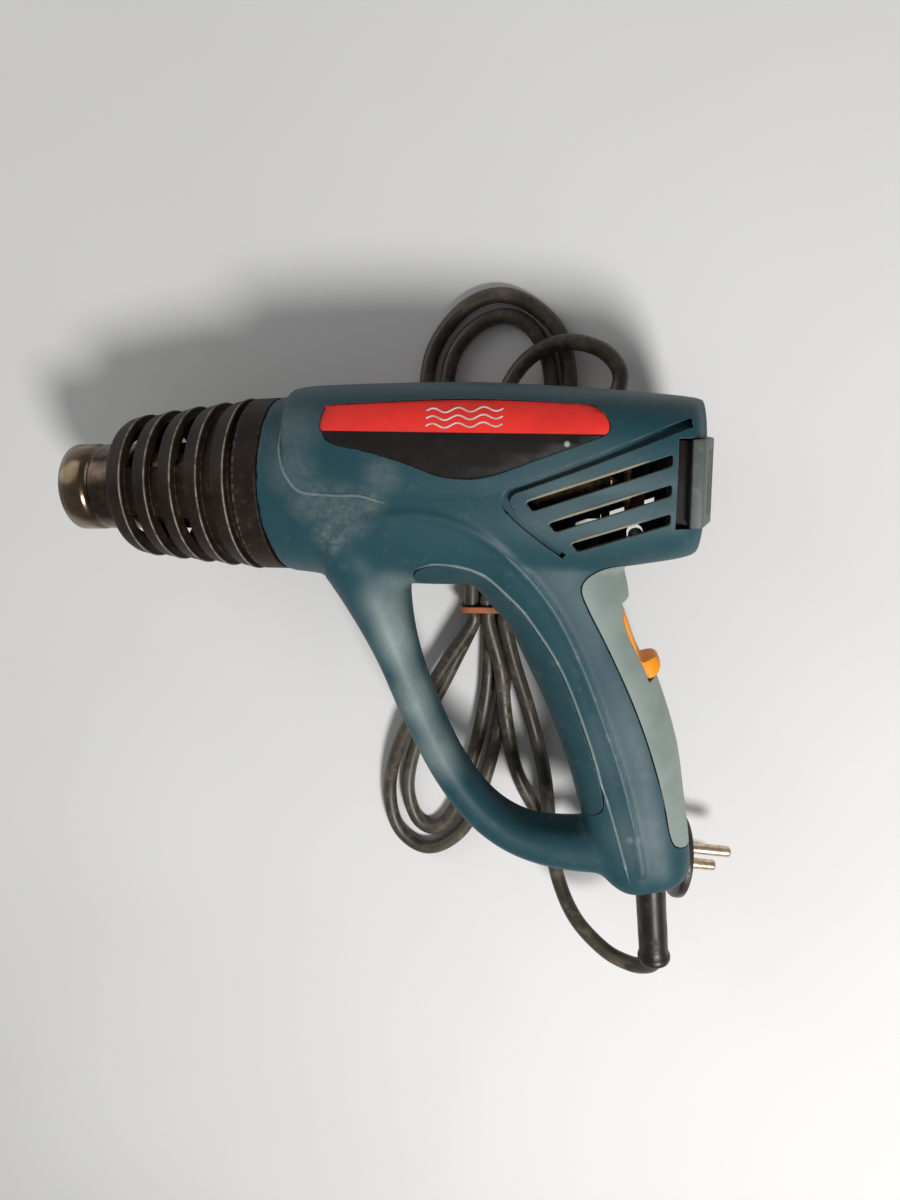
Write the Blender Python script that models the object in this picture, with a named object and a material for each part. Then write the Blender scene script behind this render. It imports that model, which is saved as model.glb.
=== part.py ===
"""Corded heat gun with a closed D-shaped handle, lying on its right side on its tied-up cord.

Frame: the origin is the centre of the flat rear stand face, on the barrel's axis.
+X points to the rear, +Y to the top of the gun, +Z out of its left side (up, as it lies).
Tables and sizes below are in millimetres; MM turns them into metres.
"""

import math

import bmesh
import bpy
from mathutils import Matrix, Vector

MM = 0.001

# Driving dimensions
LENGTH = 250.5            # nozzle mouth to rear stand face
NOZZLE_R = 17.5           # outside radius of the steel nozzle, 35 mm across
TUBE_WALL = 1.0
WALL = 2.5                # moulded housing wall
GAP = 0.3                 # clearance between neighbouring pieces
HOUSING_FRONT = -160.0    # where the housing ends and the heat guard begins
HOUSING_REAR = -2.5
REAR_SET_BACK = 4.8       # how far the rounded rear end lies behind the stand face at its sides
CORD_R = 3.3
STRAND_PITCH = 7.3        # spacing of neighbouring strands of the coiled cord
SWITCH_TRAVEL = 8.0       # off, low and high, 4 mm apart

MOUTH = -LENGTH
GUARD_FRONT = MOUTH + 26.5
GUARD_BORE = 19.5
FIN_COUNT = 5
FIN_PITCH = 11.0
FIN_WIDTH = 6.2
FIRST_FIN_REAR = MOUTH + 33.9

# Lofts: x, y, half size in the XY plane, half size along Z, roundness power
BARREL = [
    (HOUSING_FRONT, -0.3, 33.9, 33.6, 2.0),
    (-148, -0.6, 34.8, 33.9, 2.0),
    (-130, -1.0, 36.8, 34.0, 2.1),
    (-100, -2.0, 37.4, 33.8, 2.2),
    (-75, -1.5, 36.5, 33.4, 2.3),
    (-45, -1.2, 32.8, 32.4, 2.5),
    (-17, 0.2, 29.8, 31.6, 2.7),
    (HOUSING_REAR - REAR_SET_BACK, 0.7, 28.6, 30.6, 2.8),
    (HOUSING_REAR, 0.8, 27.6, 22.0, 2.8),
]
SADDLE = [
    (-153, 11.0, 25.4, 33.8, 2.6),
    (-143, 11.4, 26.0, 35.1, 2.6),
    (-113, 11.4, 26.0, 35.6, 2.7),
    (-85, 11.0, 25.8, 35.3, 2.7),
    (-60, 10.0, 25.0, 34.4, 2.7),
    (-32, 8.5, 23.8, 33.2, 2.8),
    (-9, 6.4, 23.0, 31.2, 2.8),
    (-5, 6.0, 22.0, 23.0, 2.8),
]
HANDLE = [
    (-72, -4, 27.0, 30.5, 2.3),
    (-62, -24, 28.5, 25.0, 2.3),
    (-52, -43, 25.2, 20.0, 2.3),
    (-46.0, -61, 22.1, 18.0, 2.4),
    (-37.4, -80, 22.2, 17.6, 2.4),
    (-28.9, -105, 21.9, 17.5, 2.4),
    (-24.3, -127, 20.9, 17.0, 2.4),
    (-20.5, -146, 19.8, 16.6, 2.4),
    (-17.5, -157, 17.8, 16.0, 2.5),
    (-16.4, -162.5, 14.0, 13.2, 2.6),
    (-16.0, -164.5, 9.5, 9.0, 2.6),
]
LOOP = [
    (-132, -8, 22.0, 31.0, 2.2),
    (-129, -28, 17.5, 28.0, 2.2),
    (-125, -46, 12.6, 19.0, 2.2),
    (-118.5, -68, 8.9, 12.5, 2.2),
    (-110, -92, 7.9, 11.2, 2.3),
    (-98, -118, 7.6, 11.0, 2.3),
    (-84, -136.5, 8.0, 11.2, 2.3),
    (-68, -146.5, 8.8, 12.0, 2.3),
    (-50, -149.5, 10.2, 13.0, 2.3),
    (-30, -148.5, 10.4, 13.5, 2.3),
]

SADDLE_SLANT = 0.1
BODY_SIDES = 24

# Seam lines of the grip inserts, x and y
FRONT_SEAM = [
    (-102, -42), (-106.5, -36), (-104.5, -30.5), (-96, -28), (-83, -31), (-71, -41.5), (-63, -51.5),
    (-51.5, -71),
    (-41, -100), (-35.5, -121), (-37.5, -128.5), (-46, -132),
]
REAR_SEAM = [
    (-13, -33), (-20, -29.8), (-30, -29.6), (-40, -32), (-44.5, -37.2), (-42, -45.5), (-35, -60),
    (-26, -80),
    (-19, -99), (-13, -120), (-9.5, -137), (-5.5, -142.5), (4, -145),
]

LABEL_OUTLINE = [
    (-133.5, 23.5), (-132.5, 27.5), (-129, 29.6), (-85, 30.0), (-40, 27.0), (-36.4, 24.8), (-35.6, 20.5),
    (-37.5, 17),
    (-57, 10.5), (-74, 5.0), (-84, 3.8), (-94, 5.3), (-104, 9.2), (-118, 13.6), (-128, 15.8), (-132.5, 19),
]

# Screws of the two housing halves: x, y and where the head's seat and the tip lie along Z
HOUSING_SCREWS = {
    "top_front": (-147, 31.0, -8.0, 11.0),
    "top_rear": (-14, 22.5, -12.0, 12.0),
    "belly": (-127, -41, -10.0, 12.0),
    "heel": (-24, -23.0, -14.0, 12.0),
    "loop_front": (-113.5, -83, -4.5, 6.0),
    "loop_bottom": (-69, -146, -4.5, 6.5),
    "grip": (-35, -97, -9.0, 10.0),
    "grip_end": (-28, -135, -9.0, 10.0),
}
BOSS_R = 4.4
SCREW_R = 1.5
SCREW_HEAD_R = 3.0
SCREW_HEAD_H = 2.2

# Switch slider: where it starts on the handle's back, and the way down the back
SLIDER_START = Vector((-30.1, -49.8))
SLIDER_DOWN = Vector((0.386, -0.922)).normalized()
SLIDER_OUT = Vector((-SLIDER_DOWN.y, SLIDER_DOWN.x))
SLIDER_TOP = -4.2
SLIDER_FOOT = 27.2
SLIDER_HALF = 8.2

RELIEF_TOP = Vector((-16.6, -150.0, 0))
RELIEF_END = Vector((-12.8, -202.0, 0))
CLAMP = Vector((-17.0, -143.5))
CLAMP_SCREW_X = 7.4

FLOOR = -50.3             # the cloth or bench under the coiled cord
LOW = FLOOR + CORD_R
HIGH = LOW + STRAND_PITCH


# --- general helpers ---------------------------------------------------------------------------

def clear_scene():
    for old in list(bpy.data.objects):
        bpy.data.objects.remove(old, do_unlink=True)


def material(name, colour, roughness, metallic=0.0):
    made = bpy.data.materials.new(name)
    made.use_nodes = True
    shader = made.node_tree.nodes["Principled BSDF"]
    shader.inputs["Base Color"].default_value = (*colour, 1.0)
    shader.inputs["Roughness"].default_value = roughness
    shader.inputs["Metallic"].default_value = metallic
    made.diffuse_color = (*colour, 1.0)
    return made


def add_object(name, bm, finish=None, smooth_angle=35):
    """Turn a bmesh drawn in millimetres into an object in metres."""
    bmesh.ops.scale(bm, vec=Vector((MM, MM, MM)), verts=bm.verts)
    bmesh.ops.recalc_face_normals(bm, faces=bm.faces)
    mesh = bpy.data.meshes.new(name)
    bm.to_mesh(mesh)
    bm.free()
    mesh.shade_smooth()
    mesh.set_sharp_from_angle(angle=math.radians(smooth_angle))
    made = bpy.data.objects.new(name, mesh)
    bpy.context.scene.collection.objects.link(made)
    if finish:
        mesh.materials.append(finish)
    return made


def bake(target):
    """Replace an object's mesh by what its modifiers make of it."""
    graph = bpy.context.evaluated_depsgraph_get()
    mesh = bpy.data.meshes.new_from_object(target.evaluated_get(graph))
    target.modifiers.clear()
    target.data = mesh
    mesh.name = target.name


def carve(target, operation, tools):
    """Apply one Boolean for each tool and remove the tools."""
    for tool in tools:
        cut = target.modifiers.new(operation, "BOOLEAN")
        cut.operation = operation
        cut.solver = "EXACT"
        cut.object = tool
    bake(target)
    for tool in tools:
        bpy.data.objects.remove(tool, do_unlink=True)
    return target


def duplicate(source, name):
    made = source.copy()
    made.data = source.data.copy()
    made.name = name
    bpy.context.scene.collection.objects.link(made)
    return made


def move_origin(target, point):
    """Put an object's origin at a point, leaving its mesh where it is."""
    shift = Vector(point) * MM
    target.data.transform(Matrix.Translation(-shift))
    target.location = shift


def curve_points(points, steps):
    """A smooth Catmull-Rom curve through points of any number of coordinates."""
    rows = [tuple(p) for p in points]
    rows = [rows[0]] + rows + [rows[-1]]
    curve = []
    for a, b, c, d in zip(rows, rows[1:], rows[2:], rows[3:]):
        for i in range(steps):
            t = i / steps
            curve.append(tuple(
                0.5 * (2 * q + (r - p) * t + (2 * p - 5 * q + 4 * r - s) * t ** 2 + (3 * q - p - 3 * r + s) * t ** 3)
                for p, q, r, s in zip(a, b, c, d)))
    curve.append(rows[-1])
    return curve


def skin(bm, rings, closed=False):
    """Join rings of vertices with quads, and cap both ends unless the skin is closed on itself."""
    count = len(rings[0])
    pairs = list(zip(rings, rings[1:]))
    if closed:
        pairs.append((rings[-1], rings[0]))
    for ring, following in pairs:
        for i in range(count):
            j = (i + 1) % count
            bm.faces.new((ring[i], ring[j], following[j], following[i]))
    if not closed:
        bm.faces.new(rings[0])
        bm.faces.new(rings[-1])


def loft(name, stations, sides, steps, inset=0.0, upright=False, slant=0.0, finish=None):
    """A closed superellipse loft whose spine lies in the XY plane.

    inset shrinks it all round; upright keeps every section square to X; slant sweeps the first
    section's sides back.
    """
    rows = curve_points(stations, steps)
    spine = [Vector((row[0], row[1])) for row in rows]
    bm = bmesh.new()
    rings = []
    for i, (x, y, half_u, half_z, power) in enumerate(rows):
        ahead = spine[min(i + 1, len(rows) - 1)]
        along = (ahead - spine[max(i - 1, 0)]).normalized()
        across = Vector((0, 1)) if upright else Vector((-along.y, along.x))
        sweep_back = 0.0 if i else slant
        ring = []
        for k in range(sides):
            angle = 2 * math.pi * (k + 0.5) / sides
            cos, sin = math.cos(angle), math.sin(angle)
            u = math.copysign(abs(cos) ** (2 / power), cos) * (half_u - inset)
            v = math.copysign(abs(sin) ** (2 / power), sin) * (half_z - inset)
            ring.append(bm.verts.new((x + across.x * u + sweep_back * abs(v), y + across.y * u, v)))
        rings.append(ring)
    skin(bm, rings)
    return add_object(name, bm, finish)


def lathe(name, profile, sides, finish=None, smooth_angle=35):
    """Spin a closed outline of (x, radius) points about the barrel's axis."""
    bm = bmesh.new()
    outline = [bm.verts.new((x, r, 0)) for x, r in profile]
    edges = [bm.edges.new((a, b)) for a, b in zip(outline, outline[1:] + outline[:1])]
    bmesh.ops.spin(bm, geom=outline + edges, axis=(1, 0, 0), cent=(0, 0, 0), angle=2 * math.pi, steps=sides,
                   use_merge=True)
    bmesh.ops.remove_doubles(bm, verts=bm.verts, dist=0.0005)
    flat = [f for f in bm.faces if f.calc_area() < 1e-9]
    bmesh.ops.delete(bm, geom=flat, context="FACES")
    return add_object(name, bm, finish, smooth_angle)


def tube(x0, x1, outer, inner):
    """Outline of a plain tube for lathe."""
    return [(x0, outer), (x1, outer), (x1, inner), (x0, inner)]


def cylinder(name, start, end, radius, sides, finish=None):
    start, end = Vector(start), Vector(end)
    bm = bmesh.new()
    turn = (end - start).to_track_quat("Z", "Y").to_matrix().to_4x4()
    place = Matrix.Translation((start + end) / 2) @ turn
    bmesh.ops.create_cone(bm, cap_ends=True, segments=sides, radius1=radius, radius2=radius,
                          depth=(end - start).length, matrix=place)
    return add_object(name, bm, finish)


def block(name, low, high, finish=None):
    low, high = Vector(low), Vector(high)
    bm = bmesh.new()
    size = high - low
    place = Matrix.Translation((low + high) / 2) @ Matrix.Diagonal((size.x, size.y, size.z, 1))
    bmesh.ops.create_cube(bm, size=1, matrix=place)
    return add_object(name, bm, finish)


def prism(name, outline, z0, z1, finish=None):
    """Extrude an XY outline along Z."""
    bm = bmesh.new()
    lower = [bm.verts.new((p[0], p[1], z0)) for p in outline]
    upper = [bm.verts.new((p[0], p[1], z1)) for p in outline]
    skin(bm, [lower, upper])
    return add_object(name, bm, finish)


def sweep(name, path, radius, sides, finish=None):
    """A round bar along a path of points, turned as little as possible on its way."""
    points = [Vector(p) for p in path]
    bm = bmesh.new()
    rings = []
    side = None
    for i, point in enumerate(points):
        along = (points[min(i + 1, len(points) - 1)] - points[max(i - 1, 0)]).normalized()
        side = along.orthogonal() if side is None else side
        side = (side - along * side.dot(along)).normalized()
        up = along.cross(side)
        ring = []
        for k in range(sides):
            angle = 2 * math.pi * k / sides
            ring.append(bm.verts.new(point + (side * math.cos(angle) + up * math.sin(angle)) * radius))
        rings.append(ring)
    skin(bm, rings)
    return add_object(name, bm, finish)


def shifted(line, distance):
    """Move an open XY line sideways, to its left as it runs."""
    points = [Vector(p) for p in line]
    moved = []
    for i, point in enumerate(points):
        along = (points[min(i + 1, len(points) - 1)] - points[max(i - 1, 0)]).normalized()
        moved.append(point + Vector((-along.y, along.x)) * distance)
    return moved


def on_handle(down, out, z=0.0):
    """A point given along the slider's track: down the handle's back, out of it, and across."""
    flat = SLIDER_START + SLIDER_DOWN * down + SLIDER_OUT * out
    return Vector((flat.x, flat.y, z))


def handle_block(name, down, out, z, finish=None):
    """A block square to the slider's track; each of down, out and z is a (low, high) pair."""
    corners = [on_handle(d, o).xy for o, ends in ((out[0], down), (out[1], down[::-1])) for d in ends]
    return prism(name, corners, z[0], z[1], finish)


def slider_crown():
    """A bar along the track whose section is the hook's rounded outline as seen up the track."""
    half = [(SLIDER_HALF, -2.0), (SLIDER_HALF, 1.4), (7.2, 3.9), (4.8, 6.1), (1.8, 7.2)]
    section = half + [(-z, out) for z, out in reversed(half)]
    bm = bmesh.new()
    skin(bm, [[bm.verts.new(on_handle(d, out, z)) for z, out in section] for d in (-8, 32)])
    return add_object("crown", bm)


# --- materials ---------------------------------------------------------------------------------

def make_materials():
    return {
        "teal": material("teal_plastic", (0.045, 0.125, 0.150), 0.55),
        "grip": material("grey_teal_grip", (0.090, 0.150, 0.160), 0.65),
        "black": material("black_plastic", (0.020, 0.018, 0.016), 0.55),
        "rear": material("grey_green_plastic", (0.130, 0.145, 0.135), 0.60),
        "red": material("label_red", (0.700, 0.040, 0.030), 0.40),
        "steel": material("heat_tinted_steel", (0.300, 0.210, 0.140), 0.30, 1.0),
        "bright": material("bright_steel", (0.620, 0.600, 0.570), 0.30, 1.0),
        "mica": material("mica", (0.420, 0.330, 0.200), 0.50),
        "nichrome": material("nichrome", (0.350, 0.330, 0.310), 0.35, 1.0),
        "copper": material("copper", (0.700, 0.320, 0.180), 0.35, 1.0),
        "magnet": material("ferrite", (0.060, 0.060, 0.065), 0.60),
        "board": material("circuit_board", (0.350, 0.240, 0.090), 0.55),
        "orange": material("orange_plastic", (0.900, 0.360, 0.010), 0.45),
        "cord": material("black_cord", (0.018, 0.017, 0.016), 0.50),
        "rubber": material("rubber_band", (0.550, 0.150, 0.050), 0.70),
        "nickel": material("nickel_pin", (0.700, 0.620, 0.540), 0.30, 1.0),
        "blue": material("blue_wire", (0.030, 0.100, 0.350), 0.50),
        "brown": material("brown_wire", (0.180, 0.070, 0.030), 0.50),
        "white": material("white_plastic", (0.650, 0.640, 0.600), 0.50),
    }


# --- housing -----------------------------------------------------------------------------------

def body_solid(name, inset, sides, steps):
    """Barrel, saddle, handle and loop joined into one closed solid."""
    hollow = inset > 0
    barrel = list(BARREL)
    saddle = list(SADDLE)
    if hollow:
        front, rear = barrel[0], barrel[-1]
        barrel[0] = (front[0] - 3, *front[1:])
        barrel[-1] = (rear[0] - inset, *rear[1:])
        saddle[-1] = (saddle[-1][0] - inset, *saddle[-1][1:])
        saddle[0] = (saddle[0][0] + inset, *saddle[0][1:])
    handle = HANDLE[:-1] if hollow else HANDLE
    joined = loft(name, barrel, sides, 1, inset, upright=True)
    parts = [
        loft("saddle", saddle, sides, 1, inset, upright=True, slant=SADDLE_SLANT),
        loft("handle", handle, sides - 4, steps, inset),
        loft("loop", LOOP, sides - 8, steps, inset),
    ]
    return carve(joined, "UNION", parts)


def vent_slots():
    """Three rising slots, cut through both sides of the body."""
    slope = math.tan(math.radians(17.2))
    right = -15.0
    height = 4.4
    cutters = []
    for i in range(3):
        left = -63.8 + 7.6 * i
        top = 10.5 - 9.8 * i
        drop = (right - left) * slope
        outline = [(left, top - drop), (right, top), (right, top - height),
                   (left + 2.3, top - height - drop + 0.7)]
        cutters.append(prism("slot", outline, -60, 60))
    return cutters


def insert_region(name, seam, closing, shift):
    """The space a grip insert fills: its seam line, closed through the air beside the handle."""
    line = shifted([(p[0], p[1]) for p in curve_points(seam, 3)], shift)
    return prism(name, list(line) + [Vector(p) for p in closing], -60, 60)


def front_insert_region(name, shift):
    return insert_region(name, FRONT_SEAM, [(-56, -130), (-88, -66), (-98, -46)], -shift)


def rear_insert_region(name, shift):
    return insert_region(name, REAR_SEAM, [(12, -140), (6, -100), (-6, -50)], shift)


def label_cutter(name, grow, inset, side):
    """The label's outline as a prism on one side, down to a depth below the saddle's surface."""
    centre = Vector((-84, 18))
    outline = []
    for x, y in LABEL_OUTLINE:
        away = (Vector((x, y)) - centre)
        outline.append(Vector((x, y)) + away.normalized() * grow)
    low, high = (14, 60) if side > 0 else (-60, -14)
    made = prism(name, outline, low, high)
    core = loft("core", SADDLE, BODY_SIDES, 1, inset, upright=True, slant=SADDLE_SLANT)
    return carve(made, "DIFFERENCE", [core])


def make_label(name, side, finish):
    made = label_cutter(name, 0.0, 0.9, side)
    skin_solid = loft("skin", SADDLE, BODY_SIDES, 1, 0.1, upright=True, slant=SADDLE_SLANT)
    carve(made, "INTERSECT", [skin_solid])
    made.data.materials.clear()
    made.data.materials.append(finish)
    return made


def make_housing(finish):
    """Both halves of the shell, with the two grip inserts cut out of it."""
    shell = body_solid("shell", 0.0, BODY_SIDES, 1)
    hollow = body_solid("hollow", WALL, BODY_SIDES - 4, 1)
    bosses = []
    for x, y, seat, tip in HOUSING_SCREWS.values():
        bosses.append(cylinder("boss", (x, y, -33), (x, y, 33), BOSS_R, 10))
    clamp_posts = [(CLAMP.x + side * CLAMP_SCREW_X, CLAMP.y) for side in (-1, 1)]
    for x, y in clamp_posts:
        bosses.append(cylinder("post", (x, y, -33), (x, y, -0.5), 3.2, 8))
    carve(shell, "DIFFERENCE", [hollow])
    outer = body_solid("outer", 0.15, BODY_SIDES, 1)
    for boss in bosses:
        carve(boss, "INTERSECT", [duplicate(outer, "outer_copy")])
    bpy.data.objects.remove(outer, do_unlink=True)
    carve(shell, "UNION", bosses)

    cutters = vent_slots()
    cutters.append(block("rear_window", (-13.4, -14.6, -60), (8, 15.5, 60)))
    cutters.append(label_cutter("recess_left", GAP, 1.2, 1))
    cutters.append(label_cutter("recess_right", GAP, 1.2, -1))
    cutters.append(cylinder("relief_hole", RELIEF_TOP, RELIEF_END, 6.6, 16))
    for x, y in clamp_posts:
        cutters.append(cylinder("clamp_hole", (x, y, -11), (x, y, 2), SCREW_R + GAP, 8))
    for x, y, seat, tip in HOUSING_SCREWS.values():
        cutters.append(cylinder("screw_hole", (x, y, seat - 1), (x, y, tip + 1), SCREW_R + GAP, 8))
        cutters.append(cylinder("head_hole", (x, y, seat), (x, y, -60), SCREW_HEAD_R + GAP, 10))
    carve(shell, "DIFFERENCE", cutters)

    front = duplicate(shell, "grip_front")
    carve(front, "INTERSECT", [front_insert_region("front_region", GAP / 2)])
    rear = duplicate(shell, "grip_rear")
    carve(rear, "INTERSECT", [rear_insert_region("rear_region", GAP / 2)])
    track = SLIDER_HALF + 2.6
    foot = SLIDER_FOOT + 0.6
    carve(rear, "UNION", [handle_block("floor", (-8, foot + 1.5), (-3.2, -1.0), (-10.2, 10.2))])
    carve(rear, "DIFFERENCE", [
        handle_block("land", (SLIDER_TOP - 0.3, foot), (-1.7, 12), (-track, track)),
        handle_block("run", (SLIDER_TOP - SWITCH_TRAVEL - 0.5, SLIDER_TOP), (-1.7, 1.9), (-track, track)),
        handle_block("neck_slot", (-2.6, 14.6), (-12, 2), (-2.4, 2.4)),
    ])
    openings = [front_insert_region("front_region", -GAP / 2), rear_insert_region("rear_region", -GAP / 2)]
    carve(shell, "DIFFERENCE", openings)

    left = duplicate(shell, "housing_left")
    carve(left, "DIFFERENCE", [block("right_side", (-200, -250, -80), (60, 90, GAP / 2))])
    right = duplicate(shell, "housing_right")
    carve(right, "DIFFERENCE", [block("left_side", (-200, -250, -GAP / 2), (60, 90, 80))])
    bpy.data.objects.remove(shell, do_unlink=True)
    for made in (left, right, front, rear):
        made.data.materials.clear()
    left.data.materials.append(finish["teal"])
    right.data.materials.append(finish["teal"])
    front.data.materials.append(finish["grip"])
    rear.data.materials.append(finish["grip"])


def make_rear_grille(finish):
    """Rear stand face with intake slots, flat in the middle and set back at its two side lips.

    A flange behind each lip reaches forward inside the housing and closes the gap beside it.
    """
    half, flat, thick = 31.0, 14.0, 3.0
    low, high = -14.2, 15.1
    back = -REAR_SET_BACK
    lip_front, flange_front, flange, flange_wall = -8.8, -16.5, 26.4, 1.3
    upper = [
        (0, flat), (back, half), (lip_front, half), (lip_front, flange), (flange_front, flange),
        (flange_front, flange - flange_wall), (back - thick, flange - flange_wall), (-thick, flat),
    ]
    outline = upper + [(x, -z) for x, z in reversed(upper)]
    bm = bmesh.new()
    rings = [[bm.verts.new((x, y, z)) for x, z in outline] for y in (low, high)]
    skin(bm, rings)
    made = add_object("rear_grille", bm, finish)
    slots = []
    for side in (-1, 1):
        for i in range(2):
            z = side * (16.8 + 5.4 * i)
            slots.append(block("slot", (-9, low + 4, z - 1.4), (2, high - 4, z + 1.4)))
    return carve(made, "DIFFERENCE", slots)


# --- heat guard, nozzle and heater -------------------------------------------------------------

def guard_radius(x):
    """Outer radius of the guard's fins, growing towards the housing."""
    t = (x - GUARD_FRONT) / (HOUSING_FRONT - GUARD_FRONT)
    return 27.6 + 6.0 * min(1.0, 1.25 * t) ** 0.9


def make_guard(finish):
    outline = [(GUARD_FRONT, GUARD_BORE), (GUARD_FRONT, guard_radius(GUARD_FRONT) - 1.0)]
    for i in range(FIN_COUNT):
        rear = FIRST_FIN_REAR + FIN_PITCH * i
        radius = guard_radius(rear)
        if i:
            outline.append((rear - FIN_WIDTH, radius - 3.4))
        outline.append((max(rear - FIN_WIDTH, GUARD_FRONT + 0.8), radius - 1.3))
        outline.append((rear, radius))
        outline.append((rear, radius - 3.0))
    band = FIRST_FIN_REAR + FIN_PITCH * (FIN_COUNT - 1) + FIN_PITCH - FIN_WIDTH
    outline += [(band, guard_radius(band) - 3.0), (band, guard_radius(band) - 0.6)]
    outline += [(HOUSING_FRONT - GAP, 33.4), (HOUSING_FRONT - GAP, 30.7), (HOUSING_FRONT + 6.5, 30.7)]
    outline += [(HOUSING_FRONT + 6.5, 28.4), (-172, 28.0), (GUARD_FRONT + 3, 23.6),
                (GUARD_FRONT + 3, GUARD_BORE)]
    made = lathe("heat_guard", outline, 24, finish, smooth_angle=25)

    window_width = math.radians(50)
    steps = 3
    windows = []
    for i in range(3):
        x0 = FIRST_FIN_REAR + FIN_PITCH * i
        x1 = x0 + FIN_PITCH - FIN_WIDTH
        for quarter in range(4):
            middle = math.radians(45 + 90 * quarter)
            arc = [middle - window_width / 2 + window_width * k / steps for k in range(steps + 1)]
            outline = [(math.cos(a) * 40, math.sin(a) * 40) for a in arc]
            outline += [(math.cos(a) * 21, math.sin(a) * 21) for a in reversed(arc)]
            bm = bmesh.new()
            rings = [[bm.verts.new((x, y, z)) for y, z in outline] for x in (x0, x1)]
            skin(bm, rings)
            windows.append(add_object("window", bm))
    return carve(made, "DIFFERENCE", windows)


def make_nozzle(finish):
    r = NOZZLE_R
    bead = MOUTH + 9.5
    rear = -157.0
    outline = [
        (MOUTH, r), (bead, r), (bead + 0.8, r - 0.9), (bead + 2.4, r - 0.9), (bead + 3.2, r - 0.2),
        (rear - 1.2, r - 0.2), (rear - 1.2, 24.5), (rear, 24.5), (rear, r - TUBE_WALL - 0.9),
        (MOUTH, r - TUBE_WALL - 0.9),
    ]
    lathe("nozzle_tube", outline, 24, finish["steel"])
    lathe("mica_sleeve", tube(MOUTH + 14, rear - 3, 15.2, 14.7), 20, finish["mica"])

    plates = block("heater_former", (MOUTH + 20, -12.6, -0.6), (rear - 4, 12.6, 0.6), finish["mica"])
    carve(plates, "UNION", [block("cross", (MOUTH + 20, -0.6, -12.6), (rear - 4, 0.6, 12.6))])

    turns = 6
    per_turn = 12
    start, end = MOUTH + 24, rear - 8
    path = []
    for i in range(turns * per_turn + 1):
        angle = 2 * math.pi * i / per_turn
        path.append((start + (end - start) * i / (turns * per_turn), 13.7 * math.cos(angle),
                     13.7 * math.sin(angle)))
    sweep("heater_coil", path, 0.45, 4, finish["nichrome"])

    disc = lathe("heater_end_disc", tube(rear + GAP, rear + 1.8, 21.0, 3.2), 16, finish["mica"])
    holes = []
    for i in range(6):
        angle = math.radians(60 * i)
        y, z = 10.5 * math.cos(angle), 10.5 * math.sin(angle)
        holes.append(cylinder("air_hole", (rear - 2, y, z), (rear + 4, y, z), 3.6, 8))
    carve(disc, "DIFFERENCE", holes)
    cylinder("thermal_cutout", (rear + 2.1, 0, 0), (rear + 6.5, 0, 0), 5.0, 16, finish["bright"])


# --- fan and motor -----------------------------------------------------------------------------

FAN_X = -86.0
MOTOR_FRONT = -74.0
MOTOR_REAR = -38.0
CAN_R = 14.5
SHAFT_R = 1.5
DUCT_REAR = -76.5


def make_air_duct(finish):
    outline = [
        (-154.5, 24.5), (-128, 24.8), (-108, 26.6), (DUCT_REAR, 26.6),
        (DUCT_REAR, 25.2), (-108, 25.2), (-128, 23.4), (-154.5, 23.1),
    ]
    made = lathe("air_duct", outline, 24, finish)
    return carve(made, "DIFFERENCE", [block("lead_notch", (-147, -30, -5), (-139, -20, 5))])


def make_motor_carrier(finish):
    made = lathe("motor_carrier", tube(DUCT_REAR + GAP, DUCT_REAR + 4, 26.6, 23.4), 24, finish)
    ring = lathe("clamp_ring", tube(DUCT_REAR + GAP, MOTOR_FRONT + 14, CAN_R + 2.4, CAN_R + GAP), 24)
    arms = []
    for i in range(4):
        turn = Matrix.Rotation(math.radians(45 + 90 * i), 4, "X")
        arm = block("arm", (DUCT_REAR + GAP + 0.2, CAN_R + 1.2, -1.5), (DUCT_REAR + 3.8, 24.4, 1.5))
        arm.data.transform(turn)
        arms.append(arm)
    return carve(made, "UNION", [ring] + arms)


def make_fan(finish):
    """Hub with seven pitched blades on the motor's shaft."""
    bore = SHAFT_R + 0.1
    made = lathe("fan_impeller", [(FAN_X - 5, 3.0), (FAN_X - 3, 7.5), (FAN_X + 5, 7.5), (FAN_X + 5, bore),
                                  (FAN_X - 5, bore)],
                 21, finish)
    blades = []
    count = 7
    for i in range(count):
        bm = bmesh.new()
        rings = []
        for radius, pitch in ((6.2, 50), (15.0, 40), (24.0, 30)):
            half, thick = 5.6, 0.6
            along = Vector((math.sin(math.radians(pitch)), 0, math.cos(math.radians(pitch))))
            normal = Vector((along.z, 0, -along.x))
            corners = [along * half + normal * thick, along * half - normal * thick,
                       -along * half - normal * thick, -along * half + normal * thick]
            rings.append([bm.verts.new(Vector((FAN_X, radius, 0)) + c) for c in corners])
        skin(bm, rings)
        bmesh.ops.rotate(bm, cent=(0, 0, 0), matrix=Matrix.Rotation(2 * math.pi * i / count, 3, "X"),
                         verts=bm.verts)
        blades.append(add_object("blade", bm))
    carve(made, "UNION", blades)
    move_origin(made, (FAN_X, 0, 0))
    return made


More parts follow.
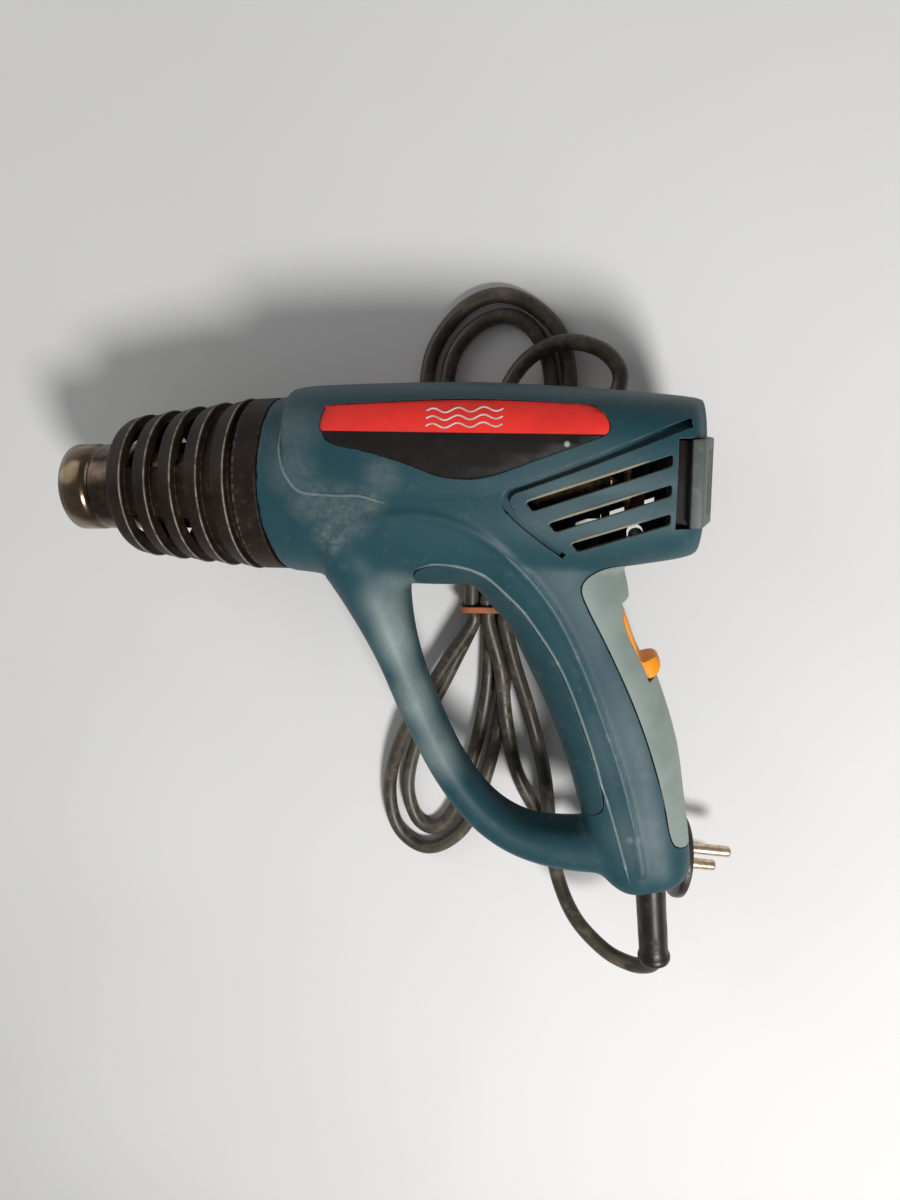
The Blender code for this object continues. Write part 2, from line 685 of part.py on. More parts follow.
def make_motor(finish):
    bush_r = 3.2
    can_wall = 1.2
    can = lathe("motor_can", [
        (MOTOR_FRONT, bush_r + 0.1), (MOTOR_FRONT, CAN_R), (MOTOR_REAR, CAN_R),
        (MOTOR_REAR, CAN_R - can_wall),
        (MOTOR_FRONT + can_wall, CAN_R - can_wall), (MOTOR_FRONT + can_wall, bush_r + 0.1),
    ], 24, finish["bright"])
    vents = [block("can_vent", (-50, -20, -2.5), (-44, 20, 2.5))]
    carve(can, "DIFFERENCE", vents)
    lathe("motor_end_cap", tube(MOTOR_REAR + GAP, MOTOR_REAR + 3.3, CAN_R, bush_r + 0.1), 24,
          finish["black"])
    lathe("bush_front", tube(MOTOR_FRONT - 0.8, MOTOR_FRONT + 3, bush_r, SHAFT_R + 0.15), 16,
          finish["copper"])
    lathe("bush_rear", tube(MOTOR_REAR + 0.6, MOTOR_REAR + 4.2, bush_r, SHAFT_R + 0.15), 16,
          finish["copper"])

    shaft = cylinder("motor_shaft", (FAN_X - 8, 0, 0), (MOTOR_REAR + 7, 0, 0), SHAFT_R, 16,
                     finish["bright"])
    core = lathe("armature", [
        (MOTOR_FRONT + 6, SHAFT_R + 0.15), (MOTOR_FRONT + 6, 7.0), (MOTOR_FRONT + 9, 9.4),
        (MOTOR_FRONT + 23, 9.4),
        (MOTOR_FRONT + 26, 7.0), (MOTOR_FRONT + 26, 4.0), (MOTOR_FRONT + 33, 4.0),
        (MOTOR_FRONT + 33, SHAFT_R + 0.15),
    ], 18, finish["copper"])
    move_origin(shaft, (FAN_X, 0, 0))
    move_origin(core, (FAN_X, 0, 0))

    half_angle = math.radians(60)
    for name, middle in (("magnet_upper", 90), ("magnet_lower", 270)):
        arc = [math.radians(middle) - half_angle + half_angle * k / 4 for k in range(9)]
        outline = [(math.cos(a) * 12.9, math.sin(a) * 12.9) for a in arc]
        outline += [(math.cos(a) * 10.4, math.sin(a) * 10.4) for a in reversed(arc)]
        bm = bmesh.new()
        rings = [[bm.verts.new((x, y, z)) for y, z in outline] for x in (MOTOR_FRONT + 5, MOTOR_FRONT + 22)]
        skin(bm, rings)
        add_object(name, bm, finish["magnet"])
    for name, side in (("brush_upper", 1), ("brush_lower", -1)):
        ends = sorted((side * 4.4, side * 11.0))
        block(name, (MOTOR_FRONT + 28, ends[0], -1.5), (MOTOR_FRONT + 32, ends[1], 1.5), finish["magnet"])

    board_x = MOTOR_REAR + 9
    board = lathe("rectifier_board", tube(board_x, board_x + 1.4, 13.5, 3.0), 20, finish["board"])
    for i in range(4):
        z = -8.1 + 5.4 * i
        cylinder(f"diode_{i + 1}", (board_x + 3.0, 4.6, z), (board_x + 3.0, 9.8, z), 1.3, 10,
                 finish["black"])
    block("suppressor_capacitor", (board_x + 1.7, -11.0, -6.0), (board_x + 6.7, -5.0, 6.0), finish["red"])
    return board


# --- switch, cord and small parts --------------------------------------------------------------

def make_switch(finish):
    profile = [
        (SLIDER_TOP + 0.4, -1.3), (SLIDER_TOP, 0.5), (SLIDER_TOP + 0.8, 1.5), (3.6, 1.2),
        (14.1, 0.6), (19.6, 0.4), (20.4, 1.3), (20.4, 5.0), (21.2, 6.6), (23.2, 6.95),
        (25.6, 6.3), (26.9, 4.2), (SLIDER_FOOT, 0.6), (26.4, -1.3),
    ]
    outline = [on_handle(d, o).xy for d, o in profile]
    slider = prism("switch_slider", outline, -SLIDER_HALF, SLIDER_HALF, finish["orange"])
    edge = slider.modifiers.new("edge", "BEVEL")
    edge.width = 0.8 * MM
    edge.segments = 2
    edge.limit_method = "ANGLE"
    edge.angle_limit = math.radians(50)
    bake(slider)
    carve(slider, "INTERSECT", [slider_crown()])
    carve(slider, "UNION", [handle_block("neck", (6, 14), (-9.0, 0.0), (-1.9, 1.9))])
    handle_block("switch_actuator", (7, 13), (-14.5, -9.3), (-1.9, 1.9), finish["white"])

    case = handle_block("switch_body", (-5, 25), (-28, -11.5), (-7.5, 7.5), finish["black"])
    carve(case, "DIFFERENCE", [handle_block("channel", (-2.8, 14.8), (-15.2, -8), (-2.4, 2.4))])


def make_screw(name, x, y, seat, length, finish):
    """Pan-head screw along Z, its head facing the right side."""
    bm = bmesh.new()
    head = [(0.0, 0.0), (0.0, 2.4), (0.7, SCREW_HEAD_R), (SCREW_HEAD_H, SCREW_HEAD_R),
            (SCREW_HEAD_H, SCREW_R),
            (length, SCREW_R), (length, 0.0)]
    outline = [bm.verts.new((r, 0, z)) for z, r in head]
    edges = [bm.edges.new((a, b)) for a, b in zip(outline, outline[1:])]
    bmesh.ops.spin(bm, geom=outline + edges, axis=(0, 0, 1), cent=(0, 0, 0), angle=2 * math.pi, steps=8,
                   use_merge=True)
    bmesh.ops.remove_doubles(bm, verts=bm.verts, dist=0.0005)
    bmesh.ops.translate(bm, vec=(x, y, seat - SCREW_HEAD_H - 0.1), verts=bm.verts)
    return add_object(name, bm, finish)


def along_relief(distance, across=0.0):
    """A point on the strain relief's axis, at a distance from its inner end."""
    axis = (RELIEF_END - RELIEF_TOP).normalized()
    return RELIEF_TOP + axis * distance + Vector((-axis.y, axis.x, 0)) * across


def make_strain_relief(finish):
    """Sleeve with a collar inside the handle, a neck in its end wall and a bead at its tip."""
    length = (RELIEF_END - RELIEF_TOP).length
    bore = CORD_R + GAP
    outline = [(3, 6.2), (3, 8.6), (7, 8.6), (7, 6.2), (length - 4, 6.0), (length - 3, 6.8),
               (length, 6.6), (length, bore), (3, bore)]
    made = lathe("strain_relief", outline, 18, finish)
    axis = (RELIEF_END - RELIEF_TOP).normalized()
    turn = Vector((1, 0, 0)).rotation_difference(axis).to_matrix().to_4x4()
    made.data.transform(Matrix.Translation(RELIEF_TOP * MM) @ turn)
    return made


# The tied-up cord. Six strands pass the tie, three wide and two high.
TIE = Vector((-86.0, -59.0))
TIE_LOW = LOW + 1.4


def through_tie(column, row, rising):
    """A strand's way through the tie: column -1, 0 or 1 from left to right, row 0 or 1 from below.

    rising is 1 for a strand on its way to the top of the gun and -1 for one coming back.
    """
    x = TIE.x + STRAND_PITCH * column
    z = TIE_LOW + STRAND_PITCH * row
    return [(x, TIE.y - 7 * rising, z), (x, TIE.y, z), (x, TIE.y + 7 * rising, z)]


def cord_path():
    """The cord from inside the handle, round its three top loops and two bottom loops, to the plug."""
    from_handle = [tuple(along_relief(d)) for d in (-6, 10, 30, 48, 53)]
    to_tie = [(-16.2, -206.6, -1.8), (-23, -209.2, -6), (-33.5, -207.8, -12), (-46, -198.5, -19),
              (-54, -184, -26),
              (-58, -166, -32), (-61, -140, HIGH), (-67, -112, HIGH), (-75, -84, HIGH)]
    small_top = [(-70, -26, HIGH), (-50, 10, HIGH), (-31, 34, HIGH), (-36, 48, HIGH), (-54, 53, HIGH),
                 (-71, 44, HIGH),
                 (-82, 22, HIGH), (-91, -18, HIGH)]
    outer_bottom = [(-105, -84, HIGH), (-127, -120, HIGH - 2), (-137, -150, LOW + 1), (-134, -174, LOW),
                    (-119, -184, LOW),
                    (-101, -172, LOW), (-89, -142, LOW), (-81, -104, LOW)]
    outer_top = [(-66, -26, LOW), (-54, 10, LOW), (-51, 38, LOW), (-57, 60, LOW), (-76, 73, LOW),
                 (-95, 69, LOW),
                 (-110, 50, LOW), (-112, 22, LOW), (-102, -18, LOW)]
    inner_bottom = [(-105, -90, LOW), (-120, -120, LOW), (-128, -148, LOW), (-125, -167, LOW),
                    (-116, -173, LOW),
                    (-106, -163, LOW), (-97, -138, LOW), (-89, -104, LOW)]
    inner_top = [(-91, -26, LOW), (-103, 18, LOW), (-102, 46, LOW), (-91, 61, LOW), (-76, 65, LOW),
                 (-64, 56, LOW),
                 (-58.6, 38, LOW), (-61, 12, LOW + 1), (-75, -24, HIGH - 2)]
    to_plug = [(-81, -88, HIGH), (-79, -112, HIGH - 1), (-75, -138, LOW + 3), (-67, -156, LOW + 3),
               (-57, -165, LOW + 9),
               tuple(plug_point(-47)), tuple(plug_point(-40)), tuple(plug_point(-32))]
    return (from_handle + to_tie + through_tie(1, 1, 1) + small_top + through_tie(-1, 1, -1)
            + outer_bottom + through_tie(1, 0, 1) + outer_top + through_tie(-1, 0, -1)
            + inner_bottom + through_tie(0, 0, 1) + inner_top + through_tie(0, 1, -1) + to_plug)


PLUG_RIM_R = 18.5
PLUG_RIM = Vector((0.2, -170.6, FLOOR + PLUG_RIM_R - 0.3))
PLUG_TURN = Matrix.Rotation(math.radians(-8), 3, "Z") @ Matrix.Rotation(math.radians(10), 3, "Y")


def plug_point(distance):
    """A point on the plug's axis, measured from the middle of its face towards the pins."""
    return PLUG_RIM + PLUG_TURN @ Vector((distance, 0, 0))


def place_plug_piece(made):
    made.data.transform(Matrix.Translation(PLUG_RIM * MM) @ PLUG_TURN.to_4x4())


def make_cord(finish):
    return sweep("power_cord", curve_points(cord_path(), 2), CORD_R, 6, finish)


def make_cord_tie(finish):
    """Flat rubber band round the six strands."""
    middle = TIE_LOW + STRAND_PITCH / 2
    corner = CORD_R + 2 * GAP
    outer, inner = [], []
    for quarter in range(4):
        cy = STRAND_PITCH * (1 if quarter in (0, 3) else -1)
        cz = STRAND_PITCH / 2 * (1 if quarter in (0, 1) else -1)
        for k in range(4):
            angle = math.radians(90 * quarter + 30 * k)
            cos, sin = math.cos(angle), math.sin(angle)
            inner.append((TIE.x + cy + cos * corner, middle + cz + sin * corner))
            outer.append((TIE.x + cy + cos * (corner + 1.1), middle + cz + sin * (corner + 1.1)))
    bm = bmesh.new()
    rings = []
    for outline, y in ((outer, -1.5), (outer, 1.5), (inner, 1.5), (inner, -1.5)):
        rings.append([bm.verts.new((x, TIE.y + y, z)) for x, z in outline])
    skin(bm, rings, closed=True)
    return add_object("cord_tie", bm, finish)


def make_plug(finish):
    """Moulded two-pin plug, lying on its rim with its face tipped up a little."""
    rim = PLUG_RIM_R
    bore = CORD_R + GAP
    outline = [
        (0, 0), (0, rim - 1), (-0.8, rim), (-3.4, rim), (-4.4, 13.0), (-12, 11.3),
        (-26, 11.3), (-34, 8.2), (-40, 6.2), (-40, bore), (-30.5, bore), (-30.5, 0),
    ]
    body = lathe("plug_body", outline, 20, finish["black"])
    spacing, pin_r, pin_length, depth = 19.0, 2.4, 19.0, 8.0
    tilt = math.radians(40)
    pins = []
    for name, side in (("plug_pin_a", 1), ("plug_pin_b", -1)):
        pins.append((name, side * spacing / 2 * math.cos(tilt), side * spacing / 2 * math.sin(tilt)))
    carve(body, "DIFFERENCE", [cylinder("socket", (-depth, y, z), (2, y, z), pin_r + GAP, 10) for _, y,
                               z in pins])
    place_plug_piece(body)
    for name, y, z in pins:
        pin = cylinder(name, (GAP - depth, y, z), (pin_length, y, z), pin_r, 12, finish["nickel"])
        tip = pin.modifiers.new("tip", "BEVEL")
        tip.width = 0.7 * MM
        tip.segments = 2
        tip.limit_method = "ANGLE"
        bake(pin)
        place_plug_piece(pin)


def make_cord_clamp(finish):
    top = CORD_R + 3.0
    made = block("cord_clamp", (CLAMP.x - 10.5, CLAMP.y - 3.5, 0.2), (CLAMP.x + 10.5, CLAMP.y + 3.5, top),
                 finish["black"])
    cuts = [cylinder("channel", along_relief(-14), along_relief(14), CORD_R + GAP, 16)]
    for name, side in (("clamp_screw_a", -1), ("clamp_screw_b", 1)):
        x = CLAMP.x + side * CLAMP_SCREW_X
        cuts.append(cylinder("hole", (x, CLAMP.y, -2), (x, CLAMP.y, 12), SCREW_R + GAP, 8))
        screw = make_screw(name, 0, 0, 0, 16, finish["bright"])
        screw.data.transform(Matrix.Translation(Vector((x, CLAMP.y, top)) * MM) @ Matrix.Rotation(math.pi,
                                                                                                  4, "X"))
    carve(made, "DIFFERENCE", cuts)


def make_leads(finish):
    """Four insulated leads: mains to the switch and board, and on to the heater."""
    radius = 0.9
    neutral = [(-19.5, -138.0, 0), (-28, -124, 4), (-44, -100, 8), (-50, -72, 11), (-54, -48, 12),
               (-44, -26, 14), (-32, -14, 14),
               (-26.5, -9, 11)]
    live = [(-16.8, -138.0, 0), (-19, -124, 0), (-24, -104, 0), tuple(on_handle(30, -20)),
            tuple(on_handle(25.4, -20))]
    heater_a = [tuple(on_handle(-5.4, -20, 3)), (-62, -36, 6), (-80, -30.2, 3), (-112, -30.0, 3),
                (-136, -28.2, 3), (-143, -24.5, 3),
                (-149, -17, 3), (-152, -14.5, 3)]
    heater_b = [(x, y, -z) for x, y, z in heater_a]
    for name, points, colour in (("neutral_lead", neutral, "blue"), ("live_lead", live, "brown"),
                                 ("heater_lead_a", heater_a, "white"),
                                 ("heater_lead_b", heater_b, "white")):
        sweep(name, curve_points(points, 2), radius, 6, finish[colour])


def build():
    clear_scene()
    finish = make_materials()
    make_housing(finish)
    make_rear_grille(finish["rear"])
    make_label("label_left", 1, finish["red"])
    make_label("label_right", -1, finish["red"])
    make_guard(finish["black"])
    make_nozzle(finish)
    make_air_duct(finish["black"])
    make_motor_carrier(finish["black"])
    make_fan(finish["white"])
    make_motor(finish)
    make_switch(finish)
    for place, (x, y, seat, tip) in HOUSING_SCREWS.items():
        make_screw(f"screw_{place}", x, y, seat, tip - seat + SCREW_HEAD_H, finish["bright"])
    make_strain_relief(finish["cord"])
    make_cord(finish["cord"])
    make_cord_tie(finish["rubber"])
    make_plug(finish)
    make_cord_clamp(finish)
    make_leads(finish)


build()
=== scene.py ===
"""Visual model of the corded heat gun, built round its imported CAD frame.

Frame: the origin is the centre of the rear stand face, +X points to the rear, +Y to the gun's
top, and +Z out of its left side, which faces up as the gun lies on its tied-up cord.
Tables and sizes below are in millimetres; MM turns them into metres.
"""

from math import copysign, cos, exp, hypot, pi, radians, sin, tan

import bmesh
import bpy
from mathutils import Matrix, Vector, noise
from mathutils.bvhtree import BVHTree


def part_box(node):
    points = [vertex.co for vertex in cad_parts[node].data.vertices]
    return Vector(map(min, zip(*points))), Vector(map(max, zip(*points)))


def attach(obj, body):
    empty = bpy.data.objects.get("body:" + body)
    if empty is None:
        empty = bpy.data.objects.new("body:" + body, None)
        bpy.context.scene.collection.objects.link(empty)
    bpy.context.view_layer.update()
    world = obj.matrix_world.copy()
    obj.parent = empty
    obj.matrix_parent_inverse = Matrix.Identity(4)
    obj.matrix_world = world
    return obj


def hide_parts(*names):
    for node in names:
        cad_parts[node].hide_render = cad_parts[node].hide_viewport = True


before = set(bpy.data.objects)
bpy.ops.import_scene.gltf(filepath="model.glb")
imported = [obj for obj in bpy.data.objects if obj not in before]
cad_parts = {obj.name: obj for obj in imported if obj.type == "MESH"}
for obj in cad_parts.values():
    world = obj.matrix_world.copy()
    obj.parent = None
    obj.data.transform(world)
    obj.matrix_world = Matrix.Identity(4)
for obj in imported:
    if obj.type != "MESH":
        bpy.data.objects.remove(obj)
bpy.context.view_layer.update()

MM = 0.001

# Driving dimensions, the same as the frame's
LENGTH = 250.5
MOUTH = -LENGTH
NOZZLE_R = 17.5
WALL = 2.5
HOUSING_FRONT = -160.0
HOUSING_REAR = -2.5
REAR_SET_BACK = 4.8
CORD_R = 3.3
STRAND_PITCH = 7.3
FLOOR = -50.3
LOW = FLOOR + CORD_R
HIGH = LOW + STRAND_PITCH

GUARD_FRONT = MOUTH + 26.5
GUARD_BORE = 19.5
FIN_COUNT = 5
FIN_PITCH = 11.0
FIN_WIDTH = 6.2
FIRST_FIN_REAR = MOUTH + 33.9

# Lofts: x, y, half size in the XY plane, half size along Z, roundness power
BARREL = [
    (HOUSING_FRONT, -0.3, 33.9, 33.6, 2.0),
    (-148, -0.6, 34.8, 33.9, 2.0),
    (-130, -1.0, 36.8, 34.0, 2.1),
    (-100, -2.0, 37.4, 33.8, 2.2),
    (-75, -1.5, 36.5, 33.4, 2.3),
    (-45, -1.2, 32.8, 32.4, 2.5),
    (-17, 0.2, 29.8, 31.6, 2.7),
    (-11, 0.6, 29.1, 31.2, 2.8),
    (HOUSING_REAR - REAR_SET_BACK, 0.7, 28.4, 29.8, 2.8),
    (HOUSING_REAR - 0.8, 0.8, 27.6, 24.0, 2.8),
]
SADDLE = [
    (-153, 11.0, 25.4, 33.8, 2.6),
    (-143, 11.4, 26.0, 35.1, 2.6),
    (-113, 11.4, 26.0, 35.6, 2.7),
    (-85, 11.0, 25.8, 35.3, 2.7),
    (-60, 10.0, 25.0, 34.4, 2.7),
    (-32, 8.5, 23.8, 33.2, 2.8),
    (-9, 6.4, 23.0, 31.2, 2.8),
    (-5, 6.0, 22.0, 24.0, 2.8),
]
HANDLE = [
    (-72, -4, 27.0, 30.5, 2.3),
    (-62, -24, 28.5, 25.0, 2.3),
    (-52, -43, 25.2, 20.0, 2.3),
    (-46.0, -61, 22.1, 18.0, 2.4),
    (-37.4, -80, 22.2, 17.6, 2.4),
    (-28.9, -105, 21.9, 17.5, 2.4),
    (-24.3, -127, 20.9, 17.0, 2.4),
    (-20.5, -146, 19.8, 16.6, 2.4),
    (-17.5, -157, 17.8, 16.0, 2.5),
    (-16.4, -162.5, 14.0, 13.2, 2.6),
    (-16.0, -164.5, 9.5, 9.0, 2.6),
]
LOOP = [
    (-132, -8, 22.0, 31.0, 2.2),
    (-129, -28, 17.5, 28.0, 2.2),
    (-125, -46, 12.6, 19.0, 2.2),
    (-118.5, -68, 8.9, 12.5, 2.2),
    (-110, -92, 7.9, 11.2, 2.3),
    (-98, -118, 7.6, 11.0, 2.3),
    (-84, -136.5, 8.0, 11.2, 2.3),
    (-68, -146.5, 8.8, 12.0, 2.3),
    (-50, -149.5, 10.2, 13.0, 2.3),
    (-30, -148.5, 10.4, 13.5, 2.3),
]
SADDLE_SLANT = 0.1

FRONT_SEAM = [
    (-102, -42), (-106.5, -36), (-104.5, -30.5), (-96, -28), (-83, -31), (-71, -41.5), (-63, -51.5),
    (-51.5, -71),
    (-41, -100), (-35.5, -121), (-37.5, -128.5), (-46, -132),
]
REAR_SEAM = [
    (-13, -33), (-20, -29.8), (-30, -29.6), (-40, -32), (-44.5, -37.2), (-42, -45.5), (-35, -60),
    (-26, -80),
    (-19, -99), (-13, -120), (-9.5, -137), (-5.5, -142.5), (4, -145),
]
LABEL_OUTLINE = [
    (-134.4, 22), (-134.2, 25.5), (-133.2, 28.2), (-130, 29.7), (-85, 30.0), (-46, 27.5), (-40.4, 26.2),
    (-37.2, 23.6),
    (-35.8, 20.4), (-36.6, 17.6), (-42, 15.4), (-57, 10.5), (-74, 5.0), (-84, 3.8), (-94, 5.3), (-104, 9.2),
    (-118, 13.6), (-128, 15.8), (-133.2, 18.6),
]
# The soft edge that runs from the front bar over the barrel's side and down the handle
BAND_EDGE = [
    (-140, -34), (-136.4, -24.8), (-133.6, -19), (-126.8, -13.2), (-118.2, -10.3), (-104.8, -8.4),
    (-93.4, -9.8),
    (-82.1, -14.6), (-72.6, -22), (-62.5, -33.7), (-52.5, -49), (-43, -69.9), (-35.3, -91.2),
    (-28.2, -113.2),
    (-22, -140), (-20, -152),
]
SEAM_TAIL = [(-38.5, -109), (-35.4, -117), (-32.3, -127.6), (-29.2, -139), (-26.1, -150.9), (-24.6, -157)]
SADDLE_EDGE = [
    (-150.3, 30), (-151, 20), (-151, 13.1), (-147.8, 5), (-143, 0), (-131.2, -1.4), (-121.1, -1.8),
    (-111.3, -5.1),
]
VENT_GROOVE = [
    (-9, 20.5), (-15.4, 18.4), (-41.6, 8.6), (-63, 1.2), (-68.4, -1.0), (-70.2, -4.2), (-68.6, -8.0),
    (-64.6, -12.4), (-56.8, -19.3), (-50.5, -24.6),
]

HOUSING_SCREWS = {
    "top_front": (-147, 31.0, -8.0, 11.0),
    "top_rear": (-14, 22.5, -12.0, 12.0),
    "belly": (-127, -41, -10.0, 12.0),
    "heel": (-24, -23.0, -14.0, 12.0),
    "loop_front": (-113.5, -83, -4.5, 6.0),
    "loop_bottom": (-69, -146, -4.5, 6.5),
    "grip": (-35, -97, -9.0, 10.0),
    "grip_end": (-28, -135, -9.0, 10.0),
}
SCREW_R = 1.5
SCREW_HEAD_R = 3.0
SCREW_HEAD_H = 2.2

SLIDER_START = Vector((-30.1, -49.8))
SLIDER_DOWN = Vector((0.386, -0.922)).normalized()
SLIDER_OUT = Vector((-SLIDER_DOWN.y, SLIDER_DOWN.x))
SLIDER_TOP = -4.2
SLIDER_FOOT = 27.2
SLIDER_HALF = 8.2
SWITCH_TRAVEL = 8.0
RELIEF_TOP = Vector((-16.6, -150.0, 0))
RELIEF_END = Vector((-12.8, -202.0, 0))
TIE = Vector((-86.0, -59.0))
TIE_LOW = LOW + 1.4
PLUG_RIM_R = 18.5
PLUG_RIM = Vector((0.2, -170.6, FLOOR + PLUG_RIM_R - 0.3))
PLUG_TURN = Matrix.Rotation(radians(-8), 3, "Z") @ Matrix.Rotation(radians(10), 3, "Y")


# Geometry helpers

def add_object(name, bm, finish=None, smooth_angle=40):
    """Turn a bmesh drawn in millimetres into an object in metres."""
    bmesh.ops.scale(bm, vec=Vector((MM, MM, MM)), verts=bm.verts)
    bmesh.ops.recalc_face_normals(bm, faces=bm.faces)
    mesh = bpy.data.meshes.new(name)
    bm.to_mesh(mesh)
    bm.free()
    made = into_scene(bpy.data.objects.new(name, mesh))
    shade(made, smooth_angle)
    if finish:
        mesh.materials.append(finish)
    return made


def into_scene(made):
    bpy.context.scene.collection.objects.link(made)
    return made


def shade(made, smooth_angle):
    made.data.shade_smooth()
    made.data.set_sharp_from_angle(angle=radians(smooth_angle))


def paint(made, finish):
    made.data.materials.clear()
    made.data.materials.append(finish)
    return made


def bake(target):
    """Replace an object's mesh by what its modifiers make of it."""
    graph = bpy.context.evaluated_depsgraph_get()
    mesh = bpy.data.meshes.new_from_object(target.evaluated_get(graph))
    target.modifiers.clear()
    target.data = mesh
    return target


def carve(target, tools, operation="DIFFERENCE", solver="MANIFOLD"):
    """Apply one Boolean for each tool and remove the tools."""
    for tool in tools:
        cut = target.modifiers.new(operation, "BOOLEAN")
        cut.operation = operation
        cut.solver = solver
        cut.object = tool
    bake(target)
    for tool in tools:
        bpy.data.objects.remove(tool, do_unlink=True)
    return target


def duplicate(source, name):
    made = source.copy()
    made.data = source.data.copy()
    made.name = name
    return into_scene(made)


def bevel(target, width, segments=2, angle=40):
    edge = target.modifiers.new("edge", "BEVEL")
    edge.width = width * MM
    edge.segments = segments
    edge.limit_method = "ANGLE"
    edge.angle_limit = radians(angle)
    bake(target)
    shade(target, 50)
    return target


def curve_points(points, steps):
    """A smooth Catmull-Rom curve through points of any number of coordinates."""
    rows = [tuple(p) for p in points]
    rows = [rows[0]] + rows + [rows[-1]]
    curve = []
    for a, b, c, d in zip(rows, rows[1:], rows[2:], rows[3:]):
        for i in range(steps):
            t = i / steps
            curve.append(tuple(
                0.5 * (2 * q + (r - p) * t + (2 * p - 5 * q + 4 * r - s) * t ** 2
                       + (3 * q - p - 3 * r + s) * t ** 3)
                for p, q, r, s in zip(a, b, c, d)))
    curve.append(rows[-1])
    return curve


def skin(bm, rings, closed=False):
    """Join rings of vertices with quads, and cap both ends unless the skin is closed on itself."""
    count = len(rings[0])
    pairs = list(zip(rings, rings[1:]))
    if closed:
        pairs.append((rings[-1], rings[0]))
    for ring, following in pairs:
        for i in range(count):
            j = (i + 1) % count
            bm.faces.new((ring[i], ring[j], following[j], following[i]))
    if not closed:
        bm.faces.new(rings[0])
        bm.faces.new(rings[-1])


def from_rings(name, rings, closed=False, finish=None):
    """An object skinned over rings of points."""
    bm = bmesh.new()
    skin(bm, [[bm.verts.new(point) for point in ring] for ring in rings], closed)
    return add_object(name, bm, finish)


def loft(name, stations, sides, steps, inset=0.0, upright=False, slant=0.0):
    """A closed superellipse loft whose spine lies in the XY plane."""
    rows = curve_points(stations, steps)
    spine = [Vector((row[0], row[1])) for row in rows]
    rings = []
    for i, (x, y, half_u, half_z, power) in enumerate(rows):
        ahead = spine[min(i + 1, len(rows) - 1)]
        along = (ahead - spine[max(i - 1, 0)]).normalized()
        across = Vector((0, 1)) if upright else Vector((-along.y, along.x))
        sweep_back = slant * max(0.0, 1.0 - i / steps)
        ring = []
        for k in range(sides):
            angle = 2 * pi * (k + 0.5) / sides
            c, s = cos(angle), sin(angle)
            u = copysign(abs(c) ** (2 / power), c) * (half_u - inset)
            v = copysign(abs(s) ** (2 / power), s) * (half_z - inset)
            ring.append((x + across.x * u + sweep_back * abs(v), y + across.y * u, v))
        rings.append(ring)
    return from_rings(name, rings)


def steps_from(x, r, *steps):
    """Outline points given as steps from one place."""
    return [(x + a, r + b) for a, b in steps]


def lathe(name, profile, sides, finish=None, smooth_angle=40):
    """Spin a closed outline of (x, radius) points about the barrel's axis."""
    bm = bmesh.new()
    rings = []
    for k in range(sides):
        angle = 2 * pi * k / sides
        rings.append([bm.verts.new((x, r * cos(angle), r * sin(angle))) for x, r in profile])
    skin(bm, rings, closed=True)
    bmesh.ops.remove_doubles(bm, verts=bm.verts, dist=0.0005)
    bmesh.ops.dissolve_degenerate(bm, edges=bm.edges, dist=0.0002)
    return add_object(name, bm, finish, smooth_angle)


def cylinder(name, start, end, radius, sides):
    start, end = Vector(start), Vector(end)
    bm = bmesh.new()
    turn = (end - start).to_track_quat("Z", "Y").to_matrix().to_4x4()
    bmesh.ops.create_cone(bm, cap_ends=True, segments=sides, radius1=radius, radius2=radius,
        depth=(end - start).length, matrix=Matrix.Translation((start + end) / 2) @ turn)
    return add_object(name, bm)


def block(name, low, high):
    low, high = Vector(low), Vector(high)
    bm = bmesh.new()
    size = high - low
    bmesh.ops.create_cube(bm, size=1, matrix=Matrix.Translation((low + high) / 2)
        @ Matrix.Diagonal((size.x, size.y, size.z, 1)))
    return add_object(name, bm)


def prism(name, outline, z0, z1):
    """Extrude an XY outline along Z."""
    return from_rings(name, [[(p[0], p[1], z) for p in outline] for z in (z0, z1)])


def sweep(name, path, radius, sides, finish=None):
    """A round bar along a path; radius is a number or a function of the distance along it."""
    points = [Vector(p) for p in path]
    rings = []
    side = None
    travelled = 0.0
    for i, point in enumerate(points):
        travelled += (point - points[max(i - 1, 0)]).length
        along = (points[min(i + 1, len(points) - 1)] - points[max(i - 1, 0)]).normalized()
        side = along.orthogonal() if side is None else side
        side = (side - along * side.dot(along)).normalized()
        up = along.cross(side)
        r = radius(travelled) if callable(radius) else radius
        ring = []
        for k in range(sides):
            angle = 2 * pi * k / sides
            ring.append(point + (side * cos(angle) + up * sin(angle)) * r)
        rings.append(ring)
    return from_rings(name, rings, finish=finish)


def shifted(line, distance):
    """Move an open XY line sideways, to its left as it runs."""
    points = [Vector(p) for p in line]
    moved = []
    for i, point in enumerate(points):
        along = (points[min(i + 1, len(points) - 1)] - points[max(i - 1, 0)]).normalized()
        moved.append(point + Vector((-along.y, along.x)) * distance)
    return moved


def strip(name, line, width, z0, z1):
    """A ribbon-shaped wall standing on an XY line."""
    outline = shifted(line, width / 2) + list(reversed(shifted(line, -width / 2)))
    return prism(name, outline, z0, z1)


def on_handle(down, out, z=0.0):
    """A point given along the slider's track: down the handle's back, out of it, and across."""
    flat = SLIDER_START + SLIDER_DOWN * down + SLIDER_OUT * out
    return Vector((flat.x, flat.y, z))


def handle_block(name, down, out, z):
    """A block square to the slider's track; each of down, out and z is a (low, high) pair."""
    corners = [on_handle(d, o).xy for o, ends in ((out[0], down), (out[1], down[::-1])) for d in ends]
    return prism(name, corners, z[0], z[1])


